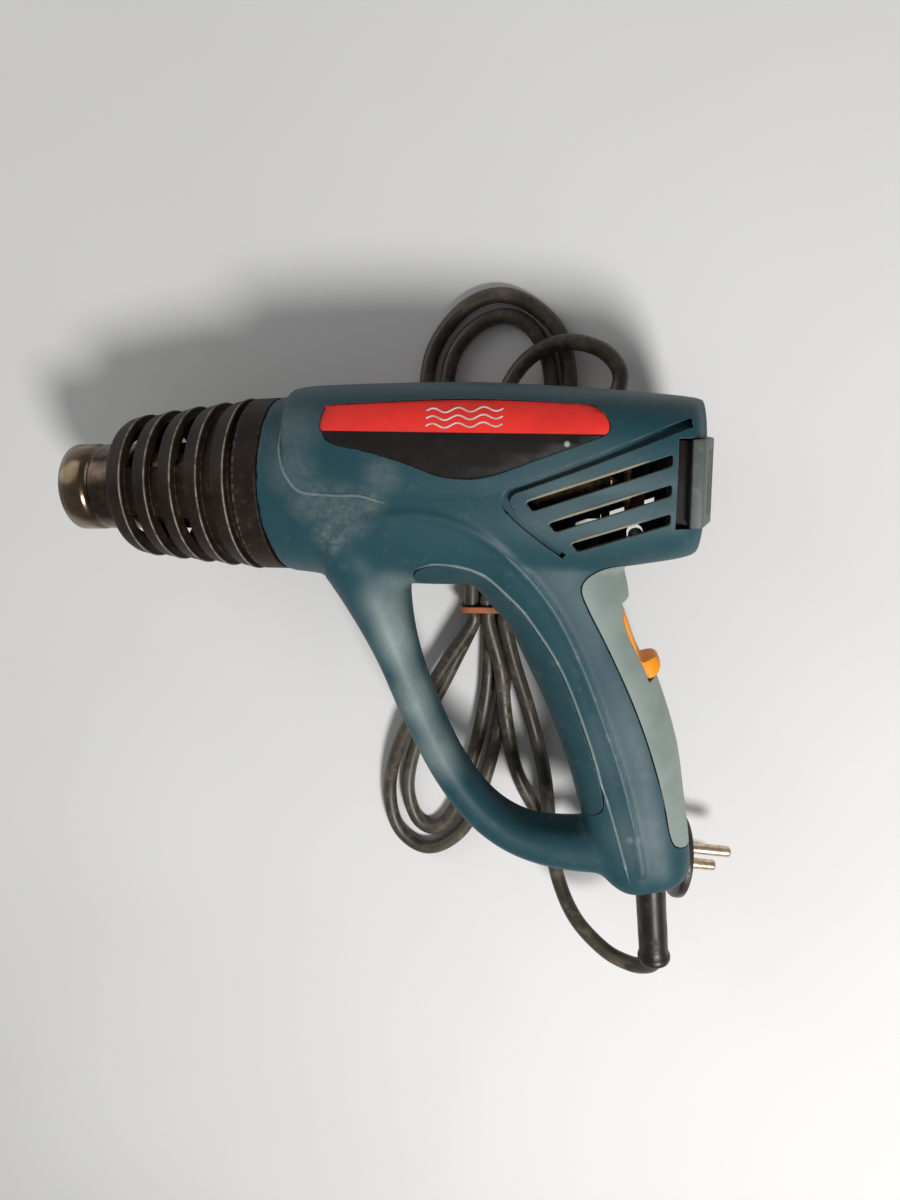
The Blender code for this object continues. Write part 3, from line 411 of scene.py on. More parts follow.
def slider_crown():
    """A bar along the track whose section is the hook's rounded outline as seen up the track."""
    half = [(SLIDER_HALF, -2.0)]
    for k in range(12):
        angle = radians(7.5 * k)
        half.append((SLIDER_HALF * cos(angle) ** 0.8, 1.2 + 5.8 * sin(angle)))
    section = half + [(-z, out) for z, out in reversed(half)]
    return from_rings("crown", [[on_handle(d, out, z) for z, out in section] for d in (-8, 32)])


def smoothstep(low, high, value):
    t = min(1.0, max(0.0, (value - low) / (high - low)))
    return t * t * (3 - 2 * t)


def finish_piece(made, body, slot, *nodes):
    """Put a finished piece on its body and hide the CAD nodes it stands for. The slot argument is not used.
    """
    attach(made, body)
    if nodes:
        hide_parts(*nodes)
    return made


# Materials

class Shader:
    """A procedural material, with short calls for the nodes it is made of."""

    def __init__(self, name, metallic=0.0):
        self.material = bpy.data.materials.new(name)
        self.material.use_nodes = True
        self.tree = self.material.node_tree
        self.surface = self.tree.nodes["Principled BSDF"]
        self.surface.inputs["Metallic"].default_value = metallic
        self.place = self.new("TexCoord").outputs["Object"]
        self.axes = self.new("SeparateXYZ", {"Vector": self.place}).outputs

    def new(self, kind, feeds=None, **settings):
        made = self.tree.nodes.new("ShaderNode" + kind)
        for key, value in settings.items():
            setattr(made, key, value)
        for key, value in (feeds or {}).items():
            self.feed(made.inputs[key], value)
        return made

    def feed(self, socket, value):
        if isinstance(value, bpy.types.NodeSocket):
            self.tree.links.new(value, socket)
        else:
            socket.default_value = value

    def noise(self, size, detail=5.0, roughness=0.6, stretch=(1, 1, 1)):
        """Noise whose largest spots are about size millimetres across."""
        place = self.new("VectorMath", {0: self.place, 1: stretch}, operation="MULTIPLY").outputs[0]
        made = self.new("TexNoise", {"Vector": place, "Scale": 1 / (size * MM), "Detail": detail,
            "Roughness": roughness})
        return made.outputs["Fac"]

    def ramp(self, value, low, high, out_low=0.0, out_high=1.0):
        made = self.new("MapRange", {"Value": value, "From Min": low, "From Max": high, "To Min": out_low,
            "To Max": out_high}, interpolation_type="SMOOTHSTEP")
        return made.outputs["Result"]

    def math(self, operation, a, b=0.0):
        return self.new("Math", {0: a, 1: b}, operation=operation, use_clamp=operation == "ADD").outputs[0]

    def times(self, a, b):
        return self.math("MULTIPLY", a, b)

    def mix(self, factor, a, b):
        made = self.new("Mix", {0: factor}, data_type="RGBA")
        for socket, value in ((made.inputs[6], a), (made.inputs[7], b)):
            self.feed(socket, value if isinstance(value, bpy.types.NodeSocket) else (*value, 1.0))
        return made.outputs[2]

    def near(self, point, inner, outer):
        """1 within inner millimetres of a point, 0 beyond outer."""
        distance = self.new("VectorMath", {0: self.place, 1: [c * MM for c in point]}, operation="DISTANCE")
        return self.ramp(distance.outputs["Value"], inner * MM, outer * MM, 1.0, 0.0)

    def rounded(self, radius):
        return self.new("Bevel", {"Radius": radius * MM}, samples=4).outputs[0]

    def edges(self, radius):
        """1 on edges, found by how far the rounded normal leans from the true one."""
        true = self.new("NewGeometry").outputs["Normal"]
        lean = self.new("VectorMath", {0: true, 1: self.rounded(radius)},
            operation="DOT_PRODUCT").outputs["Value"]
        return self.ramp(lean, 0.98, 0.8)

    def chips(self, radius, noise_field, low, high, strength):
        """Broken wear along edges."""
        return self.times(self.times(self.edges(radius), self.ramp(noise_field, low, high)), strength)

    def scratches(self, size, amount, turn):
        """Thin hairline marks, more of them as amount rises."""
        turned = self.new("Mapping", {"Vector": self.place, "Rotation": turn, "Scale": (1, 14, 1)})
        cells = self.new("TexVoronoi", {"Vector": turned.outputs[0], "Scale": 1 / (size * MM),
            "Randomness": 1.0}, feature="DISTANCE_TO_EDGE")
        lines = self.ramp(cells.outputs["Distance"], 0.0, 0.05, 1.0, 0.0)
        where = self.ramp(self.noise(size * 1.7, 3), 1 - amount, 1.05 - amount)
        return self.times(lines, where)

    def finish(self, colour, roughness, bump, height=0.1, round_edges=0.0, shine=0.5):
        for socket, value in (("Base Color", colour), ("Roughness", roughness),
                ("Specular IOR Level", shine)):
            self.feed(self.surface.inputs[socket], value)
        relief = self.new("Bump", {"Height": bump, "Strength": 1.0, "Distance": height * MM})
        if round_edges:
            self.feed(relief.inputs["Normal"], self.rounded(round_edges))
        self.feed(self.surface.inputs["Normal"], relief.outputs[0])
        return self.material


def moulded_plastic(name, base, dark, dust, worn, dust_amount=0.12, dirt_spots=(), painted_sheen_spots=()):
    """Textured moulded plastic with blotches, dust in patches, pale patches of painted sheen, hairline
    scratches and worn edges.
    """
    s = Shader(name)
    blotch = s.ramp(s.noise(24, 4), 0.38, 0.66)
    colour = s.mix(s.times(blotch, 0.6), base, dark)
    dust_field = s.ramp(s.noise(5.0, 9, 0.75), 0.52, 0.74)
    haze = s.times(dust_field, dust_amount)
    grime = s.noise(2.4, 8, 0.8)
    for point, inner, outer, strength in dirt_spots:
        patch = s.times(s.near(point, inner, outer), s.ramp(grime, 0.42, 0.62, 0.15, strength))
        haze = s.math("MAXIMUM", haze, patch)
    colour = s.mix(haze, colour, dust)
    uneven = s.ramp(s.noise(16, 6, 0.7), 0.3, 0.65, 0.65, 1.0)
    # The film patches are painted sheen: pale colour where the key light's broad highlight falls.
    for point, inner, outer, strength in painted_sheen_spots:
        film = s.times(s.near(point, inner, outer), strength)
        colour = s.mix(s.times(film, uneven), colour, PAINTED_SHEEN_COLOUR)
    marks = s.math("MAXIMUM", s.scratches(21, 0.2, (0.2, 0.4, 0.7)),
        s.scratches(13, 0.18, (0.5, 0.1, -0.5)))
    colour = s.mix(s.times(marks, 0.22), colour, worn)
    colour = s.mix(s.chips(0.5, s.noise(3.0, 6, 0.7), 0.4, 0.66, 0.45), colour, worn)
    roughness = s.ramp(s.math("ADD", haze, s.times(s.noise(3.5), 0.35)), 0.0, 1.0, 0.48, 0.82)
    grain = s.math("ADD", s.times(s.noise(0.35, 2), 0.5), s.times(marks, -0.3))
    return s.finish(colour, roughness, grain, 0.05, round_edges=0.45, shine=0.36)


def heat_tinted_steel():
    """Thin steel that heat has turned straw, brown and blue-grey, with smoke stains and bright wear."""
    s = Shader("Heat_tinted_steel", 1.0)
    along = s.times(s.axes["X"], 1000.0)
    wander = s.math("SUBTRACT", along, s.times(s.noise(16, 3), 6.0))
    straw = s.mix(s.ramp(s.noise(9, 6), 0.35, 0.65), (0.225, 0.168, 0.108), (0.145, 0.1, 0.062))
    lip = s.mix(s.ramp(along, MOUTH, MOUTH + 3.0), (0.42, 0.37, 0.3), straw)
    grey = s.mix(s.ramp(s.noise(5, 6), 0.4, 0.65), (0.115, 0.086, 0.066), (0.065, 0.046, 0.035))
    colour = s.mix(s.ramp(along, MOUTH + 9.0, MOUTH + 12.0), lip, grey)
    colour = s.mix(s.ramp(wander, MOUTH + 22, MOUTH + 60), colour, (0.13, 0.075, 0.045))
    stain = s.ramp(s.noise(3.2, 9, 0.75), 0.56, 0.72)
    colour = s.mix(s.times(stain, 0.5), colour, (0.1, 0.065, 0.045))
    streaks = s.noise(2.0, 4, 0.6, stretch=(6, 1, 1))
    roughness = s.ramp(s.math("ADD", s.times(stain, 0.5), s.times(streaks, 0.4)), 0.0, 1.0, 0.2, 0.55)
    return s.finish(colour, roughness, streaks, 0.02, round_edges=0.3)


def metal(name, base, dark, low, high):
    s = Shader(name, 1.0)
    spots = s.ramp(s.noise(2.5, 6), 0.4, 0.7)
    colour = s.mix(spots, base, dark)
    return s.finish(colour, s.ramp(s.noise(4, 5), 0.3, 0.7, low, high), s.noise(0.8, 3), 0.015,
        round_edges=0.2)


def soft_black(name, base, dust, dust_amount, roughness=0.45):
    """Rubber or PVC with grey scuffs along it and fine pitting."""
    s = Shader(name)
    scuffed = s.ramp(s.noise(7, 8, 0.72), 0.46, 0.7)
    film = s.ramp(s.noise(30, 3), 0.35, 0.7, 0.1, 0.55)
    colour = s.mix(s.times(film, dust_amount), base, dust)
    colour = s.mix(s.times(scuffed, dust_amount), colour, dust)
    flecks = s.ramp(s.noise(1.4, 6, 0.8), 0.64, 0.72)
    colour = s.mix(s.times(flecks, dust_amount * 0.8), colour, tuple(min(1.0, c * 2.2) for c in dust))
    rough = s.ramp(scuffed, 0.0, 1.0, roughness - 0.1, roughness + 0.25)
    return s.finish(colour, rough, s.noise(0.9, 5), 0.04)


def plain(name, base, dark, roughness):
    """Simple varied finish for pieces hidden deep inside."""
    s = Shader(name)
    colour = s.mix(s.ramp(s.noise(4, 5), 0.35, 0.7), base, dark)
    return s.finish(colour, roughness, s.noise(1.2, 4), 0.03)


def label_print():
    """Printed film: red above a boundary line and black below, with scuffs and rubbed edges."""
    s = Shader("Label_print")
    red, black = (0.96, 0.042, 0.032), (0.009, 0.007, 0.006)
    (x0, y0), (x1, y1) = (-133.5, 21.0), (-36.5, 17.4)
    slope = (y1 - y0) / (x1 - x0)
    line = s.math("ADD", s.times(s.axes["X"], slope), (y0 - slope * x0) * MM)
    above = s.math("SUBTRACT", s.axes["Y"], line)
    factor = s.ramp(above, -0.12 * MM, 0.12 * MM)
    red_varied = s.mix(s.ramp(s.noise(14, 4), 0.35, 0.7), red, tuple(c * 0.86 for c in red))
    black_varied = s.mix(s.ramp(s.noise(6, 6), 0.45, 0.75), black, tuple(c * 1.8 for c in black))
    colour = s.mix(factor, black_varied, red_varied)
    marks = s.math("MAXIMUM", s.scratches(17, 0.2, (0.1, 0.2, 0.3)), s.scratches(9, 0.15, (0.3, 0.2, -0.9)))
    colour = s.mix(s.times(marks, 0.15), colour, (0.45, 0.42, 0.38))
    colour = s.mix(s.chips(0.15, s.noise(2.2, 6), 0.45, 0.62, 0.5), colour, (0.42, 0.38, 0.33))
    pale_spot = s.near((-49.5, 14.6, 33.5), 0.4, 1.3)
    colour = s.mix(s.times(pale_spot, 0.7), colour, (0.5, 0.5, 0.46))
    return s.finish(colour, s.ramp(s.noise(5, 5), 0.3, 0.7, 0.5, 0.66), s.noise(0.6, 3), 0.02, shine=0.22)


def fin_plastic():
    """Heat-resistant black-brown plastic with dust and bright worn rims on the fins."""
    s = Shader("Guard_plastic")
    base = s.mix(s.ramp(s.noise(12, 5), 0.35, 0.7), (0.01, 0.0052, 0.0028), (0.021, 0.0115, 0.0065))
    dusty = s.ramp(s.noise(3.6, 9, 0.78), 0.5, 0.72)
    colour = s.mix(s.times(dusty, 0.26), base, (0.12, 0.085, 0.05))
    rim = s.new("Attribute", attribute_name="rim").outputs["Fac"]
    broken = s.ramp(s.noise(5.0, 8, 0.75), 0.34, 0.6, 0.12, 0.85)
    colour = s.mix(s.times(rim, broken), colour, (0.44, 0.4, 0.32))
    colour = s.mix(s.chips(0.35, s.noise(1.8, 6, 0.7), 0.42, 0.6, 0.45), colour, (0.38, 0.33, 0.27))
    roughness = s.ramp(dusty, 0.0, 1.0, 0.55, 0.8)
    return s.finish(colour, roughness, s.noise(0.8, 5), 0.05, round_edges=0.2, shine=0.22)


def floor_finish():
    s = Shader("Pale_floor")
    colour = s.mix(s.ramp(s.noise(300, 3), 0.3, 0.7), (0.8, 0.79, 0.77), (0.76, 0.75, 0.73))
    return s.finish(colour, 0.75, s.noise(2, 3), 0.02)


SADDLE_DIRT = (
    ((-139, -3, 33), 3, 13, 0.34),
    ((-128, -8, 34), 3, 15, 0.38),
    ((-134, -17, 33), 1, 11, 0.5),
    ((-118, -4, 35), 1, 9, 0.38),
    ((-146, 24, 33), 3, 18, 0.26),
    ((-146, 8, 34), 3, 14, 0.28),
    ((-113, 5, 36), 2, 10, 0.28),
    ((-25, -137.5, 17), 0.3, 2.0, 1.0),
    ((-22, -137, 17), 0.3, 2.0, 1.0),
    ((-14.5, -131, 15), 0.2, 1.6, 0.9),
)

# Painted sheen: pale patches on the front bar, the vent panel and the lower handle that stand for the broad
# highlight of the key light.
PAINTED_SHEEN_COLOUR = (0.32, 0.38, 0.36)
PAINTED_SHEEN_SPOTS = (
    ((-114, -44, 16), 4, 20, 0.55),
    ((-110, -62, 16), 4, 20, 0.85),
    ((-105, -84, 16), 4, 20, 0.85),
    ((-99, -106, 16), 4, 20, 0.55),
    ((-44, -4, 34), 8, 32, 0.09),
    ((-33, -98, 20), 2, 24, 0.1),
    ((-22, -136, 18), 3, 22, 0.12),
)


# Key: material name, colour, its darker blotches, dust, worn edges, amount of dust, and for teal its dirt
# spots and its spots of painted sheen
MOULDED = {
    "teal": ("Teal_plastic", (0.0125, 0.06, 0.076), (0.009, 0.048, 0.063), (0.24, 0.27, 0.24),
             (0.42, 0.46, 0.43),
             0.12, SADDLE_DIRT, PAINTED_SHEEN_SPOTS),
    "grip": ("Grip_plastic", (0.02, 0.062, 0.074), (0.014, 0.048, 0.06), (0.2, 0.24, 0.22),
             (0.4, 0.44, 0.41), 0.2),
    # Painted highlight: the rear grip insert is the same plastic as the front one, coloured much paler for
    # the key light falling on the handle's back.
    "rear_grip_painted_lit": ("Rear_grip_plastic_painted_lit", (0.26, 0.305, 0.275), (0.18, 0.225, 0.208), (0.32, 0.35, 0.32),
                  (0.42, 0.45, 0.43), 0.3),
    "rear": ("Rear_plastic", (0.095, 0.112, 0.102), (0.05, 0.062, 0.058), (0.3, 0.3, 0.26),
             (0.42, 0.42, 0.38), 0.4),
    "black": ("Black_plastic", (0.012, 0.01, 0.009), (0.02, 0.017, 0.015), (0.14, 0.12, 0.1),
              (0.3, 0.27, 0.23)),
    "orange": ("Orange_plastic", (1.0, 0.34, 0.001), (0.95, 0.29, 0.001), (0.7, 0.3, 0.04),
               (0.9, 0.45, 0.1), 0.1),
    # Ridge: lighter teal for wear and dust, and painted highlight along the handle's convex ridge.
    "ridge": ("Ridge_wear_and_painted_highlight", (0.06, 0.125, 0.14), (0.032, 0.085, 0.102), (0.3, 0.33, 0.3),
              (0.5, 0.52, 0.48), 0.8),
    # Slot walls and lips: pale cream for dust, and painted highlight where light catches them.
    "slot_wall": ("Slot_wall_dust_and_highlight", (0.3, 0.27, 0.2), (0.13, 0.13, 0.105), (0.48, 0.43, 0.33),
                  (0.52, 0.47, 0.38),
                  0.8),
    "seam": ("Seam_edge_worn", (0.16, 0.22, 0.22), (0.06, 0.13, 0.15), (0.42, 0.46, 0.43),
             (0.62, 0.64, 0.6), 0.9),
}
# Key: material name, colour, darker spots, lowest and highest roughness
METALS = {
    "bright": ("Bright_steel", (0.6, 0.58, 0.55), (0.42, 0.4, 0.37), 0.25, 0.45),
    "dull": ("Dull_steel", (0.13, 0.095, 0.06), (0.06, 0.044, 0.03), 0.6, 0.8),
    "nickel": ("Nickel_pin", (0.78, 0.62, 0.46), (0.52, 0.38, 0.26), 0.26, 0.46),
    "nichrome": ("Nichrome", (0.36, 0.33, 0.3), (0.2, 0.17, 0.15), 0.35, 0.55),
    "copper": ("Copper", (0.68, 0.32, 0.17), (0.4, 0.18, 0.1), 0.3, 0.5),
}
# Key: material name, colour, darker spots, roughness
PLAIN = {
    "magnet": ("Ferrite", (0.055, 0.055, 0.06), (0.035, 0.035, 0.038), 0.6),
    "mica": ("Mica", (0.46, 0.33, 0.18), (0.26, 0.16, 0.08), 0.45),
    "board": ("Circuit_board", (0.36, 0.25, 0.1), (0.25, 0.17, 0.07), 0.5),
    "white": ("White_plastic", (0.24, 0.2, 0.14), (0.15, 0.12, 0.08), 0.55),
    "brown": ("Brown_wire", (0.18, 0.07, 0.03), (0.12, 0.05, 0.02), 0.5),
    "blue": ("Blue_wire", (0.02, 0.04, 0.1), (0.015, 0.03, 0.07), 0.55),
    "capacitor": ("Capacitor_red", (0.22, 0.05, 0.03), (0.14, 0.035, 0.02), 0.5),
    "ink": ("Label_ink", (0.72, 0.7, 0.66), (0.5, 0.46, 0.42), 0.4),
}
# Key: material name, colour, dust, amount of dust, roughness
RUBBERS = {
    "cord": ("Cord_rubber", (0.022, 0.018, 0.012), (0.19, 0.155, 0.105), 0.58, 0.5),
    "relief": ("Relief_rubber", (0.007, 0.0045, 0.003), (0.05, 0.034, 0.024), 0.3),
    "plug": ("Plug_rubber", (0.014, 0.012, 0.011), (0.1, 0.085, 0.07), 0.45),
    "band": ("Rubber_band", (0.42, 0.1, 0.03), (0.55, 0.25, 0.1), 0.3, 0.6),
}


def make_materials():
    finish = {"guard": fin_plastic(), "steel": heat_tinted_steel(), "label": label_print()}
    for maker, table in ((moulded_plastic, MOULDED), (metal, METALS), (plain, PLAIN),
            (soft_black, RUBBERS)):
        for key, row in table.items():
            finish[key] = maker(*row)
    return finish


# Housing

def body_solid(name, inset, sides, steps):
    """Barrel, saddle, handle and loop joined into one closed solid."""
    barrel = list(BARREL)
    saddle = list(SADDLE)
    if inset > 0:
        barrel[0] = (barrel[0][0] - 3, *barrel[0][1:])
        barrel[-1] = (barrel[-1][0] - inset, *barrel[-1][1:])
        barrel[-2] = (barrel[-2][0] - inset / 2, *barrel[-2][1:])
        saddle[0] = (saddle[0][0] + inset, *saddle[0][1:])
        saddle[-1] = (saddle[-1][0] - inset, *saddle[-1][1:])
    handle = HANDLE[:-1] if inset > 0 else HANDLE
    joined = loft(name, barrel, sides, 1 if inset > 0 else steps, inset, upright=True)
    parts = [
        loft("saddle", saddle, sides, 1 if inset > 0 else steps, inset, upright=True, slant=SADDLE_SLANT),
        loft("handle", handle, sides - 4, steps, inset),
        loft("loop", LOOP, sides - 8, steps, inset),
    ]
    return carve(joined, parts, "UNION")


def side_distance(point, line):
    """Signed distance of a point from an open XY line, positive on the line's right as it runs."""
    best = 1e9
    sign = 1.0
    for a, b in zip(line, line[1:]):
        along = b - a
        t = max(0.0, min(1.0, (point - a).dot(along) / along.length_squared))
        gap = point - (a + along * t)
        if gap.length < best:
            best = gap.length
            sign = 1.0 if along.x * gap.y - along.y * gap.x < 0 else -1.0
    return sign * best


def moulded_shell():
    """The body's outer form with its joints blended and its soft edges raised."""
    shell = body_solid("shell", 0.0, 72, 6)
    remesh = shell.modifiers.new("voxels", "REMESH")
    remesh.mode = "VOXEL"
    remesh.voxel_size = 1.15 * MM
    bake(shell)
    group = shell.vertex_groups.new(name="blend")
    for v in shell.data.vertices:
        x, y, z = (c / MM for c in v.co)
        roots = smoothstep(-10, -24, y) * smoothstep(-66, -46, y)
        foot = smoothstep(30, 16, (Vector((x, y)) - Vector((-46, -146))).length)
        heel = smoothstep(20, 8, (Vector((x, y)) - Vector((-30, -28))).length)
        group.add([v.index], min(1.0, max(roots, foot) * (1 - 0.8 * heel) + 0.04), "REPLACE")
    soften = shell.modifiers.new("soften", "SMOOTH")
    soften.factor = 0.5
    soften.iterations = 36
    soften.vertex_group = "blend"
    even = shell.modifiers.new("even", "SMOOTH")
    even.factor = 0.5
    even.iterations = 3
    bake(shell)

    band = [Vector(p) for p in curve_points(BAND_EDGE, 3)]
    lifts = []
    for v in shell.data.vertices:
        x, y, z = (c / MM for c in v.co)
        lift = 0.0
        facing = smoothstep(0.25, 0.75, abs(v.normal.z))
        if facing > 0 and -150 < x < -8 and y < 4:
            d = side_distance(Vector((x, y)), band)
            ridge = exp(-(d / 1.5) ** 2)
            inside = smoothstep(-2.5, 2.0, d) * smoothstep(30, 14, d)
            lift = facing * (0.75 * ridge + 0.55 * inside)
        lifts.append(lift)
    for v, lift in zip(shell.data.vertices, lifts):
        v.co += v.normal * (lift * MM)
    return shell


SLOT_SLOPE = tan(radians(17.2))
SLOT_RIGHT = -15.0
# Left end and right end's top of the three vent slots
SLOTS = [(-63.8 + 7.6 * i, 10.5 - 9.8 * i) for i in range(3)]


def vent_slots():
    """Three rising slots with rounded ends, cut through both sides of the body."""
    right = SLOT_RIGHT
    height = 4.2
    cutters = []
    for left, top in SLOTS:
        drop = (right - left) * SLOT_SLOPE
        outline = [(left + 0.6, top - drop - 0.6), (left + 1.6, top - drop + 0.3), (right - 0.7, top - 0.2),
            (right, top - 0.9), (right, top - height + 0.8), (right - 0.8, top - height),
            (left + 3.6, top - height - drop + 1.1), (left + 2.4, top - height - drop + 1.2)]
        cutters.append(prism("slot", outline, -60, 60))
    return cutters


def insert_region(name, seam, closing, shift):
    """The space a grip insert fills: its seam line, closed through the air beside the handle."""
    line = shifted([(p[0], p[1]) for p in curve_points(seam, 6)], shift)
    return prism(name, list(line) + [Vector(p) for p in closing], -60, 60)


def front_region(shift):
    return insert_region("front_region", FRONT_SEAM, [(-56, -130), (-88, -66), (-98, -46)], -shift)


def rear_region(shift):
    return insert_region("rear_region", REAR_SEAM, [(12, -140), (6, -100), (-6, -50)], shift)


def core_solid(inset):
    """Barrel and saddle shrunk by inset, to stop shallow cuts at that depth."""
    core = loft("core", BARREL, 72, 2, inset, upright=True)
    return carve(core, [loft("core_saddle", SADDLE, 72, 2, inset, upright=True, slant=SADDLE_SLANT)],
        "UNION")


def rounded_outline(points, steps):
    """A closed smooth curve through the given corner points."""
    rows = list(points)
    rows = rows[-2:] + rows + rows[:2]
    curve = curve_points(rows, steps)
    return curve[2 * steps:-2 * steps - 1]


def label_prism(name, grow, side):
    centre = Vector((-84, 18))
    outline = []
    for p in rounded_outline(LABEL_OUTLINE, 4):
        point = Vector(p)
        outline.append(point + (point - centre).normalized() * grow)
    low, high = (14, 60) if side > 0 else (-60, -14)
    return prism(name, outline, low, high)


def cut_shell(shell):
    """Hollow the shell and cut every opening, groove and recess into it."""
    cutters = [body_solid("hollow", WALL + 0.2, 40, 2)]
    cutters += vent_slots()
    cutters.append(block("rear_window", (-13.4, -14.6, -60), (8, 15.5, 60)))
    for side in (-1, 1):
        recess = label_prism("recess", 0.35, side)
        carve(recess, [core_solid(0.75)])
        cutters.append(recess)
        low, high = (14, 60) if side > 0 else (-60, -14)
        path = curve_points(VENT_GROOVE, 4)
        for line, width in ((path[:25], 3.0), (path[18:], 2.2)):
            groove = strip("groove", line, width, low, high)
            carve(groove, [core_solid(2.3)])
            cutters.append(groove)
    cutters.append(cylinder("relief_hole", RELIEF_TOP, RELIEF_END, 6.5, 48))
    for x, y, seat, tip in HOUSING_SCREWS.values():
        cutters.append(cylinder("head_hole", (x, y, seat), (x, y, -60), SCREW_HEAD_R + 0.3, 32))
    return carve(shell, cutters)


def pale_slot_walls(half, finish):
    """The slots' walls hold pale dust and a painted highlight of the light catching them, so the faces that
    stand upright in the vent get their own finish.
    """
    half.data.materials.append(finish["slot_wall"])
    for face in half.data.polygons:
        x, y, z = (c / MM for c in face.center)
        if -68 < x < -14.2 and -28 < y < 13 and abs(z) > 25 and abs(face.normal.z) < 0.35:
            face.material_index = 1


def make_housing(finish):
    shell = cut_shell(moulded_shell())
    gap = 0.25
    front = duplicate(shell, "Front_grip_insert")
    carve(front, [front_region(gap)], "INTERSECT")
    rear = duplicate(shell, "Rear_grip_insert")
    carve(rear, [rear_region(gap)], "INTERSECT")
    track = SLIDER_HALF + 2.6
    foot = SLIDER_FOOT + 0.6
    carve(rear, [handle_block("floor", (-8, foot + 1.5), (-3.2, -1.0), (-10.2, 10.2))], "UNION")
    carve(rear, [
        handle_block("land", (SLIDER_TOP - 0.3, foot), (-1.7, 12), (-track, track)),
        handle_block("run", (SLIDER_TOP - SWITCH_TRAVEL - 0.5, SLIDER_TOP), (-1.7, 1.9), (-track, track)),
        handle_block("neck_slot", (-2.6, 14.6), (-12, 2), (-2.4, 2.4)),
    ])
    carve(shell, [front_region(-gap), rear_region(-gap)])
    left = duplicate(shell, "Housing_left_shell")
    carve(left, [block("right_side", (-200, -250, -80), (60, 90, 0.12))])
    right = duplicate(shell, "Housing_right_shell")
    carve(right, [block("left_side", (-200, -250, -0.12), (60, 90, 80))])
    surface = ray_tree(shell)
    bpy.data.objects.remove(shell, do_unlink=True)
    for made, colour, slot, node in (
            (left, "teal", "teal_plastic", "housing_left"),
            (right, "teal", "teal_plastic", "housing_right"),
            (front, "grip", "grey_teal_grip", "grip_front"),
            (rear, "rear_grip_painted_lit", "grey_teal_grip", "grip_rear")):
        paint(made, finish[colour])
        shade(made, 38)
        finish_piece(made, "gun", slot, node)
    for half in (left, right):
        pale_slot_walls(half, finish)
    return surface


def ray_tree(made):
    return BVHTree.FromObject(made, bpy.context.evaluated_depsgraph_get())


def on_side(surface, x, y, side, lift=0.0):
    """The point on a surface's left (1) or right (-1) side over an XY place."""
    hit = surface.ray_cast(Vector((x * MM, y * MM, side * 0.08)), Vector((0, 0, -side)))[0]
    if hit is None:
        return None
    return Vector((x, y, hit.z / MM + side * lift))


def slot_lips():
    """The rounded lip above each vent slot, pale with dust and painted highlight, as rows for the table of
    thin edges.
    """
    rows = []
    right = -22.0
    for i, (left, top) in enumerate(SLOTS):
        drop = (SLOT_RIGHT - left) * SLOT_SLOPE
        line = [(left + 0.9, top - drop - 2.6), (left + 0.1, top - drop - 0.9),
            (left + 0.9, top - drop + 0.5)]
        for k in range(1, 9):
            x = left + 0.9 + (right - left) * k / 8
            line.append((x, top - (SLOT_RIGHT - x) * SLOT_SLOPE + 0.45))
        rows.append((f"Slot_lip_{i + 1}", line, 0.5, -0.15, "slot_wall"))
    return rows


def make_edge_lines(surface, finish):
    """Thin pale edges: worn along the front insert's seam, worn and with painted highlight down the
    handle's ridge, dusty and with painted highlight above the vent slots, and dusty round the saddle.
    """
    lines = (
        ("Seam_edge", shifted(curve_points(FRONT_SEAM[2:-2], 10), 0.75), 0.55, 0.0, "seam"),
        ("Seam_tail", curve_points(SEAM_TAIL, 10), 0.55, 0.0, "seam"),
        ("Ridge_edge", curve_points(BAND_EDGE[8:-1], 10), 0.75, -0.2, "ridge"),
        *slot_lips(),
        ("Saddle_edge", curve_points(SADDLE_EDGE, 10), 0.6, -0.1, "seam"),
    )
    for label, line, thickness, lift, colour in lines:
        for name, side in (("left", 1), ("right", -1)):
            points = [on_side(surface, x, y, side, lift) for x, y in line]
            points = [point for point in points if point]
            length = sum((b - a).length for a, b in zip(points, points[1:]))

            def tapered(travelled):
                return 0.08 + thickness * smoothstep(0, 9, travelled) * smoothstep(length, length - 9,
                    travelled)

            bead = sweep(f"{label}_{name}", points, tapered, 8, finish[colour])
            finish_piece(bead, "gun", "teal_plastic")


def make_labels(finish):
    """Printed labels in their recesses, with plain heat-wave marks where a maker would print a name."""
    for name, side in (("left", 1), ("right", -1)):
        made = label_prism(f"Label_{name}", 0.0, side)
        carve(made, [core_solid(0.65)])
        carve(made, [core_solid(0.25)], "INTERSECT")
        paint(made, finish["label"])
        bevel(made, 0.15, 1, 60)
        finish_piece(made, "gun", "label_red", f"label_{name}")
        tree = ray_tree(made)
        for k in range(3):
            path = []
            for i in range(33):
                t = i / 32
                x = -97 + 26 * t
                y = 26.6 - 2.5 * k + 0.75 * sin(t * 6 * pi)
                path.append(on_side(tree, x, y, side, -0.28))
            wave = sweep(f"Label_wave_{name}_{k + 1}", path, 0.42, 8, finish["ink"])
            finish_piece(wave, "gun", "label_red")


